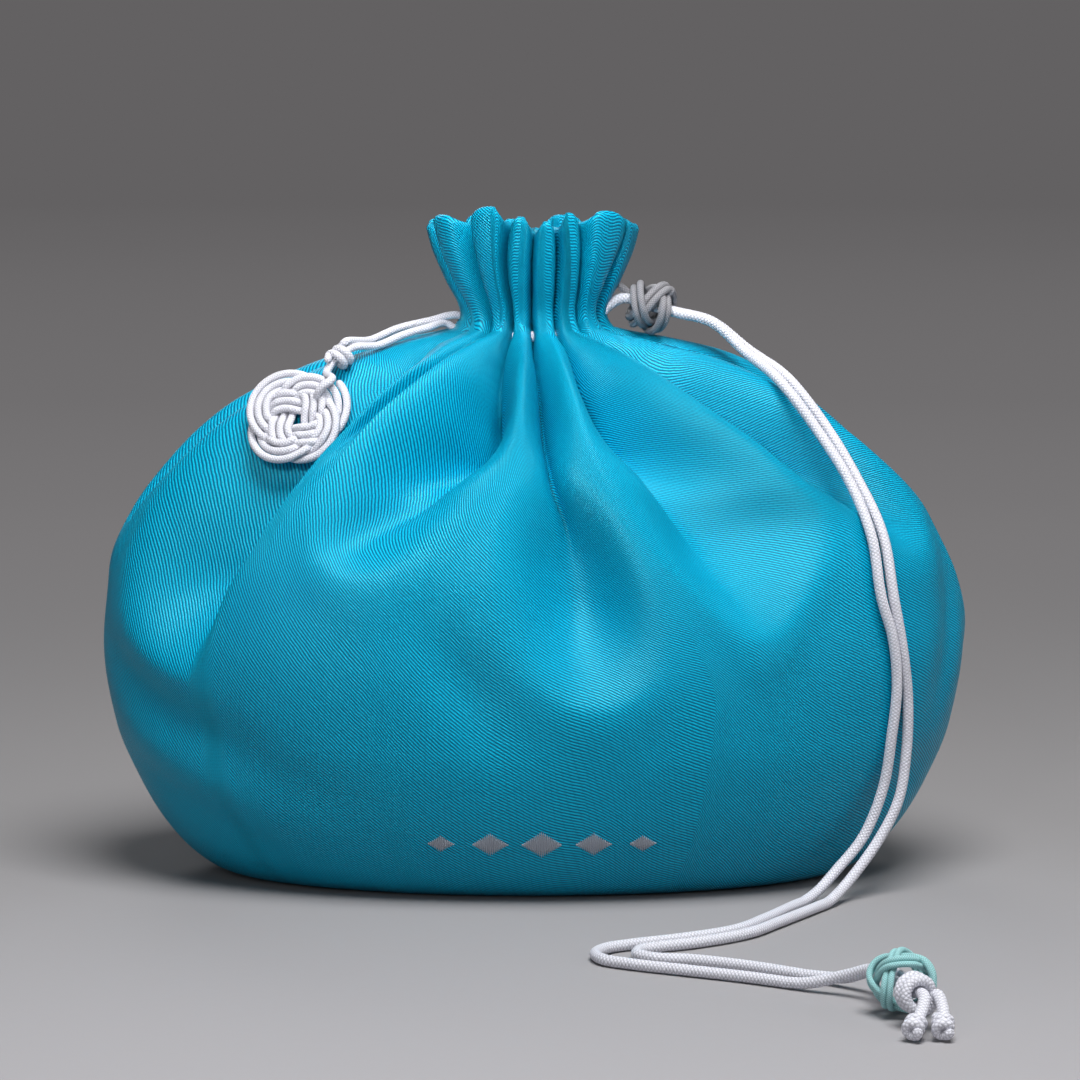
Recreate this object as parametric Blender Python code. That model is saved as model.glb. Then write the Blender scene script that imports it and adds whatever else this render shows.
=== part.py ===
"""Drawstring pouch of satin cloth, drawn shut and standing on its base, with its cords and knots.

Lengths are millimetres until the mesh is made; MM turns them into metres. +Z is up, +X is to
the right as the front is looked at, and the front faces -Y. The floor is at z = 0.
"""
import bpy
import bmesh
import numpy as np
from mathutils import Vector

MM = 0.001

# cloth: height, half width and half depth of the filled bag, the neck and the ruffle
PROFILE = (
    (0.0, 67.0, 31.5), (1.0, 72.0, 35.0), (3.5, 77.0, 38.8), (12.0, 85.5, 45.0),
    (22.0, 91.5, 49.5), (36.0, 97.2, 53.2), (56.0, 100.0, 55.0), (70.6, 98.0, 54.2),
    (84.5, 92.7, 51.7), (98.3, 82.8, 47.0), (108.7, 71.2, 41.0), (115.6, 58.5, 35.0),
    (121.0, 44.5, 28.5), (124.8, 29.0, 21.0), (127.0, 18.6, 17.0), (130.5, 17.0, 16.2),
    (138.0, 20.3, 18.8), (146.0, 23.6, 21.4), (152.0, 25.0, 22.6), (158.0, 26.0, 23.4),
)
NECK_Z = 127.0
NECK_DEPTH = 9.3
RIM_Z = 151.0
RIM_DEPTH = 11.5
RIM_WAVE = 2.4
RUFFLE_Z = 130.5
THROAT_Z = 134.0
CLOTH_THICK = 0.8
BOWL_SOFT = 5.0
BOWL_RISE = 19.0
BOWL_LENGTH = 27.0
LIP_SWELL = 0.9
CREST = 1.5

# pleats from front left round to the right: ridge line (height, degrees from the front),
# valley line on its right, valley depth, height where the valley runs out, rim lift, depth left at the rim
PLEATS = (
    (((0, -46), (66, -44), (84, -40), (100, -36), (110, -33.5), (121, -33), (127, -46), (134, -58), (152, -62)),
     ((0, -42), (80, -38.5), (100, -34), (110, -31.5), (121, -30), (127, -35), (132, -41), (152, -43)),
     2.0, 108, -1.6, 1.0),
    (((0, -38), (80, -36), (100, -32), (110, -29.5), (121, -27), (130, -26.5), (139, -25), (152, -22.5)),
     ((0, -22), (60, -22), (80, -24), (93, -16), (103, -10), (112, -8), (121, -11), (127, -17), (139, -19.5),
      (152, -14)), 14.0, 79, 0.6, 1.0),
    (((0, -8), (46, -6), (68, -6), (85, -6), (107, -2.5), (121, -3), (130, -11), (139, -9.5), (152, -6)),
     ((0, 8), (46, 8), (59, 6.5), (87, 5), (98, 3), (113, 2.2), (121, 2.2), (131, -1.5), (141, -0.5), (152, 1.3)),
     11.5, 50, -1.7, 1.0),
    (((0, 24), (46, 24), (60, 21), (70, 18), (87, 13), (107, 8.5), (121, 8), (130, 10), (139, 7), (152, 6.5)),
     ((0, 30), (61, 30), (67, 29), (83, 24), (98, 18.5), (113, 15), (121, 16), (128, 20), (140, 17.5), (152, 13.5)),
     11.5, 65, -2.8, 1.0),
    (((0, 44), (60, 42), (72, 45), (85, 50), (95, 44), (104, 39.5), (111, 35), (121, 31), (130, 29), (139, 24.5),
      (152, 18.5)),
     ((0, 66), (81, 63), (92, 55), (103, 47.5), (112, 43), (121, 41.5), (130, 41), (137, 36), (152, 28.5)),
     12.5, 81, -0.8, 0.9),
    (((0, 84), (85, 79), (100, 71), (113, 64), (121, 60), (130, 52), (139, 43.5), (152, 43)),
     ((0, 96), (85, 94), (110, 89), (121, 82), (130, 68), (152, 60)), 9.0, 66, -0.5, 0.05),
    (((0, 106), (85, 108), (110, 113), (121, 106), (130, 88), (139, 80), (152, 78)),
     ((0, 122), (85, 124), (110, 126), (127, 118), (152, 98)), 9.5, 58, -3.8, 1.0),
    (((0, 138), (85, 138), (110, 139), (127, 138), (152, 122)),
     ((0, 152), (80, 150), (110, 152), (127, 152), (152, 142)), 12.0, 74, -4.0, 0.8),
    (((0, 166), (85, 163), (110, 165), (127, 166), (152, 164)),
     ((0, 180), (60, 179), (85, 178), (110, 178), (127, 178), (152, 178)), 10.5, 50, -2.5, 1.0),
    (((0, 194), (85, 192), (110, 191), (127, 190), (152, 192)),
     ((0, 208), (80, 207), (110, 204), (127, 202), (152, 203)), 12.0, 70, -3.5, 1.0),
    (((0, 222), (85, 220), (110, 217), (127, 214), (152, 215)),
     ((0, 236), (85, 233), (110, 229), (127, 226), (152, 226)), 9.5, 60, -2.5, 0.8),
    (((0, 248), (85, 245), (110, 241), (127, 238), (152, 238)),
     ((0, 259), (85, 256), (110, 253), (127, 250), (152, 248)), 11.0, 78, -3.5, 1.0),
    (((0, 268), (85, 267), (110, 266), (127, 262), (152, 258)),
     ((0, 276), (85, 275), (110, 276), (121, 278), (127, 273), (152, 266)), 8.0, 84, -3.0, 0.9),
    (((0, 284), (84, 285), (110, 289), (121, 291), (127, 284), (152, 274)),
     ((0, 306), (68, 311), (84, 318), (99, 323), (110, 325), (121, 318), (127, 300), (152, 285)),
     13.5, 55, -3.6, 1.0),
)
# soft swells and hollows of the filled part: degrees, height, tilt, half length, half width, rise
SWELLS = (
    (-57, 42, -20, 36, 7.0, -2.4), (-58, 30, -20, 32, 7.0, 1.0), (-56, 17, -18, 26, 6.0, -1.2),
    (-9, 52, -58, 15, 7.0, -2.2), (74, 58, 65, 20, 8.0, -1.6), (66, 24, 20, 24, 7.0, -1.0),
    (84, 119, 0, 40, 5.0, 1.4), (140, 30, 20, 26, 8.0, -1.6), (205, 36, -25, 28, 8.0, -1.8), (250, 44, 30, 22, 8.0, -1.6),
)
COLUMNS = (0.0, 0.2, 0.48, 0.76)
ROWS = (0.0, 1.0, 3.5, 12.0, 22.0, 34.0, 45.0, 55.0, 64.0, 73.0, 82.0, 90.0, 97.5, 104.5,
        110.5, 115.5, 119.5, 122.8, 125.2, 127.2)
RUFFLE_ROWS = (0.0, 0.22, 0.45, 0.7, 0.88, 1.0)

# drawstring: one cord round the neck with both ends through the lock, the bead and the stopper
CORD_D = 2.4
CORD_FIT = 0.3
CORD_APART = 1.45
FLOOR_Z = 1.35
NECK_RING_R = 12.5
NECK_RING_Z = 125.6
NECK_RING_OPEN = 12.0
LOCK_AT = (26.9, 0.0, 132.0)
LOCK_AXIS = (0.97, 0.0, -0.243)
LOCK_TRAVEL = 8.0
BEAD_AT = (73.0, -147.0, 6.75)
BEAD_AXIS = (0.3, -0.954, 0.0)
STOPPER_FROM = 7.6
STOPPER_TURNS = 2
STOPPER_PITCH = 2.75
END_KNOT_D = 4.6
FRONT_STRAND = (
    (48.6, -5.0, 121.8), (56.7, -18.8, 115.0), (64.7, -23.1, 104.3), (70.9, -27.5, 94.4),
    (75.8, -33.5, 81.9), (78.0, -35.4, 68.3), (80.5, -34.6, 59.9), (81.8, -33.1, 48.8),
    (80.9, -31.8, 37.0), (79.0, -30.5, 24.1), (74.5, -31.5, 13.3), (68.4, -35.0, 6.6),
    (64.5, -39.0, 3.2), (60.2, -45.0, 1.35), (51.0, -62.0, 1.35), (44.0, -73.5, 1.35),
    (31.0, -83.0, 1.35), (20.5, -88.5, 1.35), (15.8, -91.8, 1.35), (13.2, -97.0, 1.35),
    (15.0, -103.2, 1.35), (20.0, -106.8, 1.35), (31.0, -112.5, 1.35), (44.0, -119.2, 1.35), (56.0, -126.8, 1.9),
    (63.5, -131.4, 4.6),
)
BACK_STRAND = (
    (49.5, -1.8, 122.0), (58.8, -16.1, 115.4), (67.0, -20.8, 104.6), (73.0, -25.4, 94.4),
    (78.4, -31.6, 82.3), (80.8, -34.1, 68.4), (83.1, -32.6, 56.3), (84.5, -30.4, 45.3),
    (84.4, -29.2, 32.2), (82.6, -29.8, 21.3), (77.8, -32.0, 12.4), (73.8, -35.0, 7.5),
    (70.1, -38.5, 3.8), (66.0, -45.0, 1.5), (60.7, -54.0, 1.35), (53.5, -66.0, 1.35),
    (46.5, -77.0, 1.35), (34.0, -87.0, 1.35), (26.0, -91.2, 1.35), (22.8, -93.6, 1.35),
    (21.9, -97.4, 1.35), (25.0, -101.0, 1.35), (33.0, -103.0, 1.35), (44.0, -108.6, 1.35), (56.0, -117.4, 1.35),
    (64.0, -124.0, 2.4), (68.6, -129.6, 5.2),
)
FRONT_TAIL = ((75.3, -163.8, 5.4), (73.2, -168.6, 2.9))
BACK_TAIL = ((79.2, -163.6, 5.4), (78.8, -168.2, 2.9))

# ornament: one cord looped round the drawstring, tied in a button knot and a flat knot
ORNAMENT_D = 1.8
LOOP_ANGLE = -81.0
LOOP_R = 2.6
UPPER_STRAND = ((-17.0, -2.6, 129.9), (-24.0, -3.6, 128.6), (-31.6, -5.5, 126.8), (-37.0, -8.8, 124.6))
LOWER_STRAND = ((-15.6, -2.5, 124.6), (-20.0, -2.8, 128.0), (-24.0, -6.6, 127.3), (-29.5, -8.6, 125.8),
                (-35.5, -11.6, 123.5))
BUTTON_AT = (-43.35, -16.6, 121.4)
BUTTON_AXIS = (-0.70, -0.50, -0.51)
BUTTON_TURNS = 2
BUTTON_PITCH = 2.0
HANGER = ((-46.6, -19.6, 118.0),)
FLAT_AT = (-53.4, -22.9, 108.0)
FLAT_NORMAL = (-0.24, -0.86, 0.45)
FLAT_MEAN_R = 6.65
FLAT_SWING = 2.9
FLAT_PLIES = 3
FLAT_PITCH = 1.9
FLAT_RISE = 1.0
CROSSING = np.pi / 3
BESIDE = 0.27
FLAT_PICKS = (0.0, 0.42, CROSSING - BESIDE, CROSSING + BESIDE, 2 * CROSSING - BESIDE,
              2 * CROSSING + BESIDE, 2.75, 3.53, 4 * CROSSING - BESIDE, 4 * CROSSING + BESIDE,
              5 * CROSSING - BESIDE, 5 * CROSSING + BESIDE, 5.86)

# lock knot and bead: two-ply knots of three leads, tied round the two strands
KNOT_PLIES = 2
LOCK_D = 1.7
LOCK_BIGHTS = 2
LOCK_HALF = 3.6
LOCK_BORE = (4.15, 2.95)
LOCK_BULGE = 1.7
LOCK_REACH = 48.0
LOCK_RISE = 0.95
LOCK_PICKS = 18
BEAD_D = 1.25
BEAD_BIGHTS = 4
BEAD_HALF = 3.9
BEAD_BORE = (3.85, 3.6)
BEAD_BULGE = 1.67
BEAD_REACH = 50.0
BEAD_RISE = 0.7
BEAD_PICKS = 12

TUBE_SIDES = 6

SATIN = (0.021, 0.318, 0.503, 1)
WHITE = (0.68, 0.68, 0.76, 1)
GREY = (0.26, 0.26, 0.28, 1)
MINT = (0.35, 0.72, 0.74, 1)


def clear_scene():
    for obj in list(bpy.data.objects):
        bpy.data.objects.remove(obj, do_unlink=True)


def material(name, color, roughness):
    mat = bpy.data.materials.new(name)
    mat.use_nodes = True
    shader = mat.node_tree.nodes["Principled BSDF"]
    shader.inputs["Base Color"].default_value = color
    shader.inputs["Roughness"].default_value = roughness
    shader.inputs["Metallic"].default_value = 0.0
    return mat


def smooth(points, x):
    """Monotone cubic curve through the points."""
    p = np.array(points, float)
    xs, ys = p[:, 0], p[:, 1]
    h = np.diff(xs)
    d = np.diff(ys) / h
    m = np.zeros(len(xs))
    same = d[:-1] * d[1:] > 0
    w1, w2 = 2 * h[1:] + h[:-1], h[1:] + 2 * h[:-1]
    safe = np.where(same, d[:-1], 1), np.where(same, d[1:], 1)
    m[1:-1] = np.where(same, (w1 + w2) / (w1 / safe[0] + w2 / safe[1]), 0)
    m[0], m[-1] = d[0], d[-1]
    x = np.clip(x, xs[0], xs[-1])
    i = np.clip(np.searchsorted(xs, x, side="right") - 1, 0, len(h) - 1)
    t = (x - xs[i]) / h[i]
    a, b = 2 * t**3 - 3 * t**2 + 1, t**3 - 2 * t**2 + t
    c, e = 3 * t**2 - 2 * t**3, t**3 - t**2
    return a * ys[i] + b * h[i] * m[i] + c * ys[i + 1] + e * h[i] * m[i + 1]


def step(a, b, x):
    t = np.clip((x - a) / (b - a), 0, 1)
    return t * t * (3 - 2 * t)


def envelope(phi, z):
    """Outer outline of the pouch that the ridges touch."""
    wide = smooth([(r[0], r[1]) for r in PROFILE], z)
    deep = smooth([(r[0], r[2]) for r in PROFILE], z)
    return np.stack([wide * np.sin(phi), -deep * np.cos(phi), z + 0 * phi], -1)


def outward(phi, z):
    e = 0.02
    along = envelope(phi + e, z) - envelope(phi - e, z)
    up = envelope(phi, z + 0.3) - envelope(phi, z - 0.3)
    n = np.cross(along, up)
    return n / np.linalg.norm(n, axis=-1, keepdims=True)


def valley_depth(z, depth, end, left, across):
    """Depth of a valley; it runs out downward in a bowl, so its sides end higher than its middle."""
    low = end - BOWL_SOFT + BOWL_RISE * across**2
    t = np.clip((z - low) / BOWL_LENGTH, 0, 1)
    body = depth * np.sin(0.5 * np.pi * t) ** 1.5
    body -= LIP_SWELL * np.exp(-((z - low + 3.0) / 7.0) ** 2)
    neck = NECK_DEPTH + (RIM_DEPTH * left - NECK_DEPTH) * step(132.0, 150.0, z)
    return body + (neck - body) * step(113.0, NECK_Z, z)


def columns():
    """Pleat number and place (0 ridge, 1 valley, 2 next ridge) of every column of the cloth."""
    places = list(COLUMNS) + [1.0] + [2 - h for h in COLUMNS[:0:-1]]
    pairs = [(i, s) for i in range(len(PLEATS)) for s in places]
    return np.array([p[0] for p in pairs]), np.array([p[1] for p in pairs])


def pleat_angles(pleat, place, z):
    phi, depth = np.zeros(len(pleat)), np.zeros(len(pleat))
    across = np.abs(place - 1)
    for i, (ridge, valley, deep, end, _, left) in enumerate(PLEATS):
        m = pleat == i
        turn = 360 if i == len(PLEATS) - 1 else 0
        r, v = smooth(ridge, z[m]), smooth(valley, z[m])
        q = smooth(PLEATS[(i + 1) % len(PLEATS)][0], z[m]) + turn
        s = place[m]
        phi[m] = np.where(s < 1, r + (v - r) * s, v + (q - v) * (s - 1))
        depth[m] = valley_depth(z[m], deep, end, left, across[m])
    return phi, depth, across


def cloth_row(pleat, place, z):
    """Outer points of the cloth for every column at its own height."""
    phi, depth, across = pleat_angles(pleat, place, z)
    wide = (1 - across**2) ** CREST
    tube = 1 - np.sqrt(np.clip(1 - (1 - across) ** 2.2, 0, 1))
    push = -depth * (wide + (tube - wide) * step(98.0, 124.0, z))
    for deg, height, tilt, length, width, rise in SWELLS:
        a = 95.0 * np.radians((phi - deg + 180) % 360 - 180)
        b = z - height
        c, s = np.cos(np.radians(tilt)), np.sin(np.radians(tilt))
        push += rise * np.exp(-((a * c + b * s) / length) ** 2 - ((b * c - a * s) / width) ** 2)
    rad = np.radians(phi)
    return envelope(rad, z) + outward(rad, z) * push[:, None]


def rim_height(pleat, place):
    """The rim's arch over every pleat."""
    lift, left = np.array([p[4] for p in PLEATS]), np.array([p[5] for p in PLEATS])
    a, b = lift[pleat], lift[(pleat + 1) % len(PLEATS)]
    w = place / 2
    dip = left[pleat] * (1 - np.abs(place - 1)) ** 3
    return RIM_Z + a + (b - a) * w * w * (3 - 2 * w) + RIM_WAVE * (1 - 2 * dip)


def cloth_points():
    """Rows of points: up the outside to the rim, over it and down the inside to the throat."""
    pleat, place = columns()
    rows = [cloth_row(pleat, place, np.full(len(pleat), z)) for z in ROWS]
    rim = rim_height(pleat, place)
    rows += [cloth_row(pleat, place, RUFFLE_Z + f * (rim - RUFFLE_Z)) for f in RUFFLE_ROWS]
    outer = np.array(rows)
    round_ = np.roll(outer, -1, 1) - np.roll(outer, 1, 1)
    up = np.gradient(outer, axis=0)
    n = np.cross(round_, up)
    n /= np.linalg.norm(n, axis=-1, keepdims=True)
    inner = outer - CLOTH_THICK * n
    lip = (outer[-1] + inner[-1]) / 2 + (0, 0, 0.5 * CLOTH_THICK)
    down = [inner[-1], inner[-2], inner[-3], inner[-4], inner[-5]]
    return np.array(rows + [lip] + down)


def mesh_object(name, verts, faces, mat, holder):
    mesh = bpy.data.meshes.new(name)
    mesh.from_pydata([Vector(v) * MM for v in verts], [], faces)
    mesh.validate()
    bm = bmesh.new()
    bm.from_mesh(mesh)
    bmesh.ops.recalc_face_normals(bm, faces=bm.faces)
    bm.to_mesh(mesh)
    bm.free()
    mesh.materials.append(mat)
    obj = bpy.data.objects.new(name, mesh)
    holder.objects.link(obj)
    return obj


def closed_lathe(grid, bottom, top):
    """Faces of a ring grid with a centre point under the first row and over the last."""
    rows, cols = grid.shape[:2]
    verts = [tuple(p) for row in grid for p in row] + [bottom, top]
    faces = []
    for i in range(rows - 1):
        for j in range(cols):
            k = (j + 1) % cols
            faces.append((i * cols + j, i * cols + k, (i + 1) * cols + k, (i + 1) * cols + j))
    low, high = rows * cols, rows * cols + 1
    for j in range(cols):
        k = (j + 1) % cols
        faces.append((low, k, j))
        faces.append((high, (rows - 1) * cols + j, (rows - 1) * cols + k))
    return verts, faces


def route(points, spacing):
    """Points read from a smooth curve through the chosen points, about one spacing apart."""
    p = np.array(points, float)
    q = np.vstack([2 * p[0] - p[1], p, 2 * p[-1] - p[-2]])
    out = []
    for i in range(1, len(q) - 2):
        a, b, c, d = q[i - 1:i + 3]
        ka, kb, kc = (np.linalg.norm(v) for v in (b - a, c - b, d - c))
        m1 = ((b - a) * kb**2 / ka + (c - b) * ka) / (ka + kb)
        m2 = ((c - b) * kc + (d - c) * kb**2 / kc) / (kb + kc)
        for t in np.linspace(0, 1, max(1, int(round(kb / spacing))), endpoint=False):
            h = (2 * t**3 - 3 * t**2 + 1, t**3 - 2 * t**2 + t, 3 * t**2 - 2 * t**3, t**3 - t**2)
            out.append(h[0] * b + h[1] * m1 + h[2] * c + h[3] * m2)
    out.append(q[-2])
    out = np.array(out)
    out[:, 2] = np.maximum(out[:, 2], FLOOR_Z)
    return out


def unit(v):
    v = np.array(v, float)
    return v / np.linalg.norm(v)


def tube(name, points, diameter, mat, holder, swell=()):
    """Round cord along the points; swell holds (index, factor) where a knot makes it thicker."""
    curve = bpy.data.curves.new(name, "CURVE")
    curve.dimensions = "3D"
    curve.bevel_depth = 0.5 * diameter * MM
    curve.bevel_resolution = TUBE_SIDES // 2 - 2
    curve.use_fill_caps = True
    spline = curve.splines.new("POLY")
    spline.points.add(len(points) - 1)
    for i, p in enumerate(points):
        spline.points[i].co = (p[0] * MM, p[1] * MM, p[2] * MM, 1)
    for i, factor in swell:
        spline.points[i].radius = factor
    temp = bpy.data.objects.new(name + "_curve", curve)
    bpy.context.scene.collection.objects.link(temp)
    bpy.context.view_layer.update()
    graph = bpy.context.evaluated_depsgraph_get()
    mesh = bpy.data.meshes.new_from_object(temp.evaluated_get(graph))
    bpy.data.objects.remove(temp, do_unlink=True)
    bm = bmesh.new()
    bm.from_mesh(mesh)
    bmesh.ops.remove_doubles(bm, verts=bm.verts, dist=1e-6)
    bmesh.ops.recalc_face_normals(bm, faces=bm.faces)
    bm.to_mesh(mesh)
    bm.free()
    mesh.name = name
    mesh.materials.clear()
    mesh.materials.append(mat)
    obj = bpy.data.objects.new(name, mesh)
    holder.objects.link(obj)
    return obj


def along(centre, axis, run, side=(0, 0, 0), off=0.0):
    return tuple(np.array(centre) + unit(axis) * run + np.array(side) * off)


def wrap(centre, axis, first, radius, start, turns, pitch, per_turn):
    """Turns of one strand round another that runs along the axis."""
    ax, e1 = unit(axis), unit(first)
    e2 = np.cross(ax, e1)
    angles = [2 * np.pi * k / per_turn for k in range(int(turns * per_turn) + 1)]
    return [np.array(centre) + ax * (start + pitch * t / (2 * np.pi)) + radius * (e1 * np.cos(t) + e2 * np.sin(t))
            for t in angles]


def neck_ring():
    """The drawstring's turn round the neck, threaded through the pleats."""
    a = np.radians(np.linspace(90 - NECK_RING_OPEN, -270 + NECK_RING_OPEN, 27))
    return [(NECK_RING_R * np.sin(t), -NECK_RING_R * np.cos(t), NECK_RING_Z) for t in a]


def strand_out(side):
    """From the neck over the ruffle's foot and straight through the lock."""
    y = CORD_APART * side
    lift = [(NECK_RING_R + 1.9, 1.25 * y, NECK_RING_Z + 1.5), (NECK_RING_R + 4.9, 1.05 * y, NECK_RING_Z + 5.2)]
    axis, centre = unit(LOCK_AXIS), np.array(LOCK_AT) + (0, y, 0)
    return lift + [tuple(centre + axis * t) for t in (-6.9, 0.0, 7.0, 6.0 + LOCK_TRAVEL)]


def strand_in(side):
    """Straight through the bead on the floor."""
    axis = unit(BEAD_AXIS)
    across = np.array((-axis[1], axis[0], 0.0))
    centre = np.array(BEAD_AT) + across * CORD_APART * side
    return [tuple(centre + axis * t) for t in (-12.0, -6.0, 0.0, STOPPER_FROM - 0.6)], centre, across


def drawstring_points():
    """Front end to back end: tail, stopper, bead, floor, shoulder, lock, neck and back again."""
    front_in, front_axis, across = strand_in(-1)
    back_in, _, _ = strand_in(1)
    length = STOPPER_TURNS * STOPPER_PITCH
    front_end = along(front_axis, BEAD_AXIS, STOPPER_FROM + length + 1.2)
    front = list(FRONT_STRAND) + front_in + [front_end] + list(FRONT_TAIL)
    back = list(BACK_STRAND) + back_in
    turns = wrap(front_axis, BEAD_AXIS, across, 2 * CORD_APART, STOPPER_FROM, STOPPER_TURNS, STOPPER_PITCH, 8)
    front_line = route(strand_out(-1) + front, 2.4 * CORD_D)
    back_line = route(strand_out(1) + back, 2.4 * CORD_D)
    tail = route([turns[-1]] + list(BACK_TAIL), 1.6 * CORD_D)[1:]
    ring = neck_ring()
    return np.vstack([front_line[::-1], ring, back_line, turns, tail])


def flat_knot_axes():
    """Out of the knot, to its right and to its top."""
    n = unit(FLAT_NORMAL)
    right = -unit(np.cross(n, (0, 0, 1)))
    return n, right, np.cross(n, right)


def flat_lead(v):
    """Middle line of the flat knot in its own plane."""
    ang = 0.75 * v + np.radians(45)
    r = FLAT_MEAN_R + FLAT_SWING * np.cos(v)
    return np.array((r * np.cos(ang), r * np.sin(ang)))


def flat_knot_line():
    """Flat knot of three leads and four lobes, every lead laid three strands wide."""
    n, right, top = flat_knot_axes()
    samples = np.concatenate([np.array(FLAT_PICKS) + 2 * np.pi * k for k in range(4 * FLAT_PLIES)])
    out = []
    for s in samples[1:-1]:
        t = flat_lead(s + 0.01) - flat_lead(s - 0.01)
        t /= np.linalg.norm(t)
        left = np.array((-t[1], t[0]))
        lap = s / (8 * np.pi)
        p = flat_lead(s) + left * FLAT_PITCH * (FLAT_PLIES / 2 - lap)
        h = FLAT_RISE * np.tanh(4 * np.sin(2 * s)) / np.tanh(4)
        out.append(np.array(FLAT_AT) + right * p[0] + top * p[1] + n * h)
    return out


def hanger_end():
    """Over the top right band of the flat knot and down into its lobe."""
    n, right, top = flat_knot_axes()
    diag = unit(right + top)
    return [tuple(np.array(FLAT_AT) + diag * a + n * b) for a, b in ((11.5, 3.0), (8.8, 3.2), (6.6, 1.4), (6.4, -0.4))]


def ornament_points():
    """Short end, button turns, round the drawstring, back through the turns, hanger, flat knot."""
    phi = np.radians(LOOP_ANGLE)
    out = np.array((np.sin(phi), -np.cos(phi), 0))
    ring = out * NECK_RING_R + (0, 0, NECK_RING_Z)
    loop = [ring - out * LOOP_R * np.cos(a) + np.array((0, 0, LOOP_R * np.sin(a)))
            for a in np.radians((100, 60, 30, 0, -30, -60, -100))]
    first = unit(np.cross(BUTTON_AXIS, (0.3, -0.8, 0.2)))
    radius = ORNAMENT_D + 0.2
    turns = wrap(BUTTON_AT, BUTTON_AXIS, first, radius, -2.0, BUTTON_TURNS, BUTTON_PITCH, 8)
    end = [turns[-1] + unit(BUTTON_AXIS) * 1.5 + unit((0.5, -0.8, -0.3)) * 1.2]
    before = along(BUTTON_AT, BUTTON_AXIS, -3.6)
    after = along(BUTTON_AT, BUTTON_AXIS, 3.2)
    upper = route([turns[0]] + list(UPPER_STRAND[::-1]) + loop[:1], 2.4 * ORNAMENT_D)[1:-1]
    lower = route(loop[-1:] + list(LOWER_STRAND) + [before, after] + list(HANGER) + hanger_end(), 2.4)[1:]
    return np.vstack([end, turns[::-1], upper, loop, lower, flat_knot_line()])


def ball_knot(centre, axis, bights, pitch, rise, half, bore, bulge, reach, picks):
    """Knot of three leads round a flat bore; one line that goes round once for every ply."""
    ax = unit(axis)
    side = unit(np.cross((0, 0, 1), ax))
    up = np.cross(ax, side)
    reach = np.radians(reach)

    def spot(s, h):
        ang, b = 3 * s / bights, reach * np.cos(s)
        r = (bulge + h) * np.cos(b)
        run = half * np.sin(b) / np.sin(reach) + h * np.sin(b)
        return np.array(centre) + side * (bore[0] + r) * np.cos(ang) + up * (bore[1] + r) * np.sin(ang) + ax * run

    out = []
    for s in np.linspace(0, 2 * np.pi * bights * KNOT_PLIES, bights * KNOT_PLIES * picks, endpoint=False):
        t = unit(spot(s + 0.01, 0) - spot(s - 0.01, 0))
        left = np.cross(unit(spot(s, 1.0) - spot(s, 0.0)), t)
        lap = s / (2 * np.pi * bights)
        h = rise * np.tanh(3 * np.sin(2 * s)) / np.tanh(3)
        out.append(spot(s, h) + left * pitch * (KNOT_PLIES / 2 - lap))
    return np.array(out)


def lock_points():
    return ball_knot(LOCK_AT, LOCK_AXIS, LOCK_BIGHTS, LOCK_D + 0.1, LOCK_RISE, LOCK_HALF, LOCK_BORE, LOCK_BULGE,
                     LOCK_REACH, LOCK_PICKS)


def bead_points():
    return ball_knot(BEAD_AT, BEAD_AXIS, BEAD_BIGHTS, BEAD_D + 0.05, BEAD_RISE, BEAD_HALF, BEAD_BORE, BEAD_BULGE,
                     BEAD_REACH, BEAD_PICKS)


def pouch_cloth(mat, holder):
    grid = cloth_points()
    verts, faces = closed_lathe(grid, (0.0, 0.0, 0.0), (0.0, 0.0, THROAT_Z - 2.0))
    return mesh_object("pouch_cloth", verts, faces, mat, holder)


def thread_through(cloth, line, diameter, name, mat, holder):
    """Cut the way of a cord out of the cloth, a little wider than the cord."""
    cutter = tube(name, line, diameter + 2 * CORD_FIT, mat, holder)
    cutter.hide_render = True
    cutter.display_type = "WIRE"
    mod = cloth.modifiers.new("thread", "BOOLEAN")
    mod.operation = "DIFFERENCE"
    mod.solver = "EXACT"
    mod.object = cutter
    graph = bpy.context.evaluated_depsgraph_get()
    cut = bpy.data.meshes.new_from_object(cloth.evaluated_get(graph))
    cloth.modifiers.clear()
    cloth.data = cut
    bpy.data.objects.remove(cutter, do_unlink=True)


def near_neck(points):
    """The part of a cord that lies close enough to the cloth to need room in it."""
    keep = [p for p in points if np.hypot(p[0], p[1]) < 24 and p[2] > 100]
    return np.array(keep)


def main():
    clear_scene()
    holder = bpy.data.collections.new("drawstring_pouch")
    bpy.context.scene.collection.children.link(holder)
    cutters = bpy.data.collections.new("cutters")
    bpy.context.scene.collection.children.link(cutters)
    satin = material("satin", SATIN, 0.4)
    white = material("white_cord", WHITE, 0.7)
    grey = material("grey_cord", GREY, 0.65)
    mint = material("mint_cord", MINT, 0.65)
    string = drawstring_points()
    ornament = ornament_points()
    cloth = pouch_cloth(satin, holder)
    thread_through(cloth, near_neck(string), CORD_D, "drawstring_way", white, cutters)
    thread_through(cloth, near_neck(ornament), ORNAMENT_D, "ornament_way", white, cutters)
    knob = END_KNOT_D / CORD_D
    last = len(string) - 1
    tube("drawstring", string, CORD_D, white, holder,
         swell=((0, 0.9), (1, knob), (last - 1, knob), (last, 0.9)))
    tube("ornament_cord", ornament, ORNAMENT_D, white, holder, swell=((0, 1.0),))
    tube("lock_knot", lock_points(), LOCK_D, grey, holder)
    tube("slider_bead", bead_points(), BEAD_D, mint, holder)


main()
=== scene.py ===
"""Drawstring pouch of turquoise satin twill with its cords and knots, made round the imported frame.

Lengths are millimetres until a mesh is made. +Z is up, the front faces -Y, and the floor is at z = 0.
"""

import math

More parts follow.
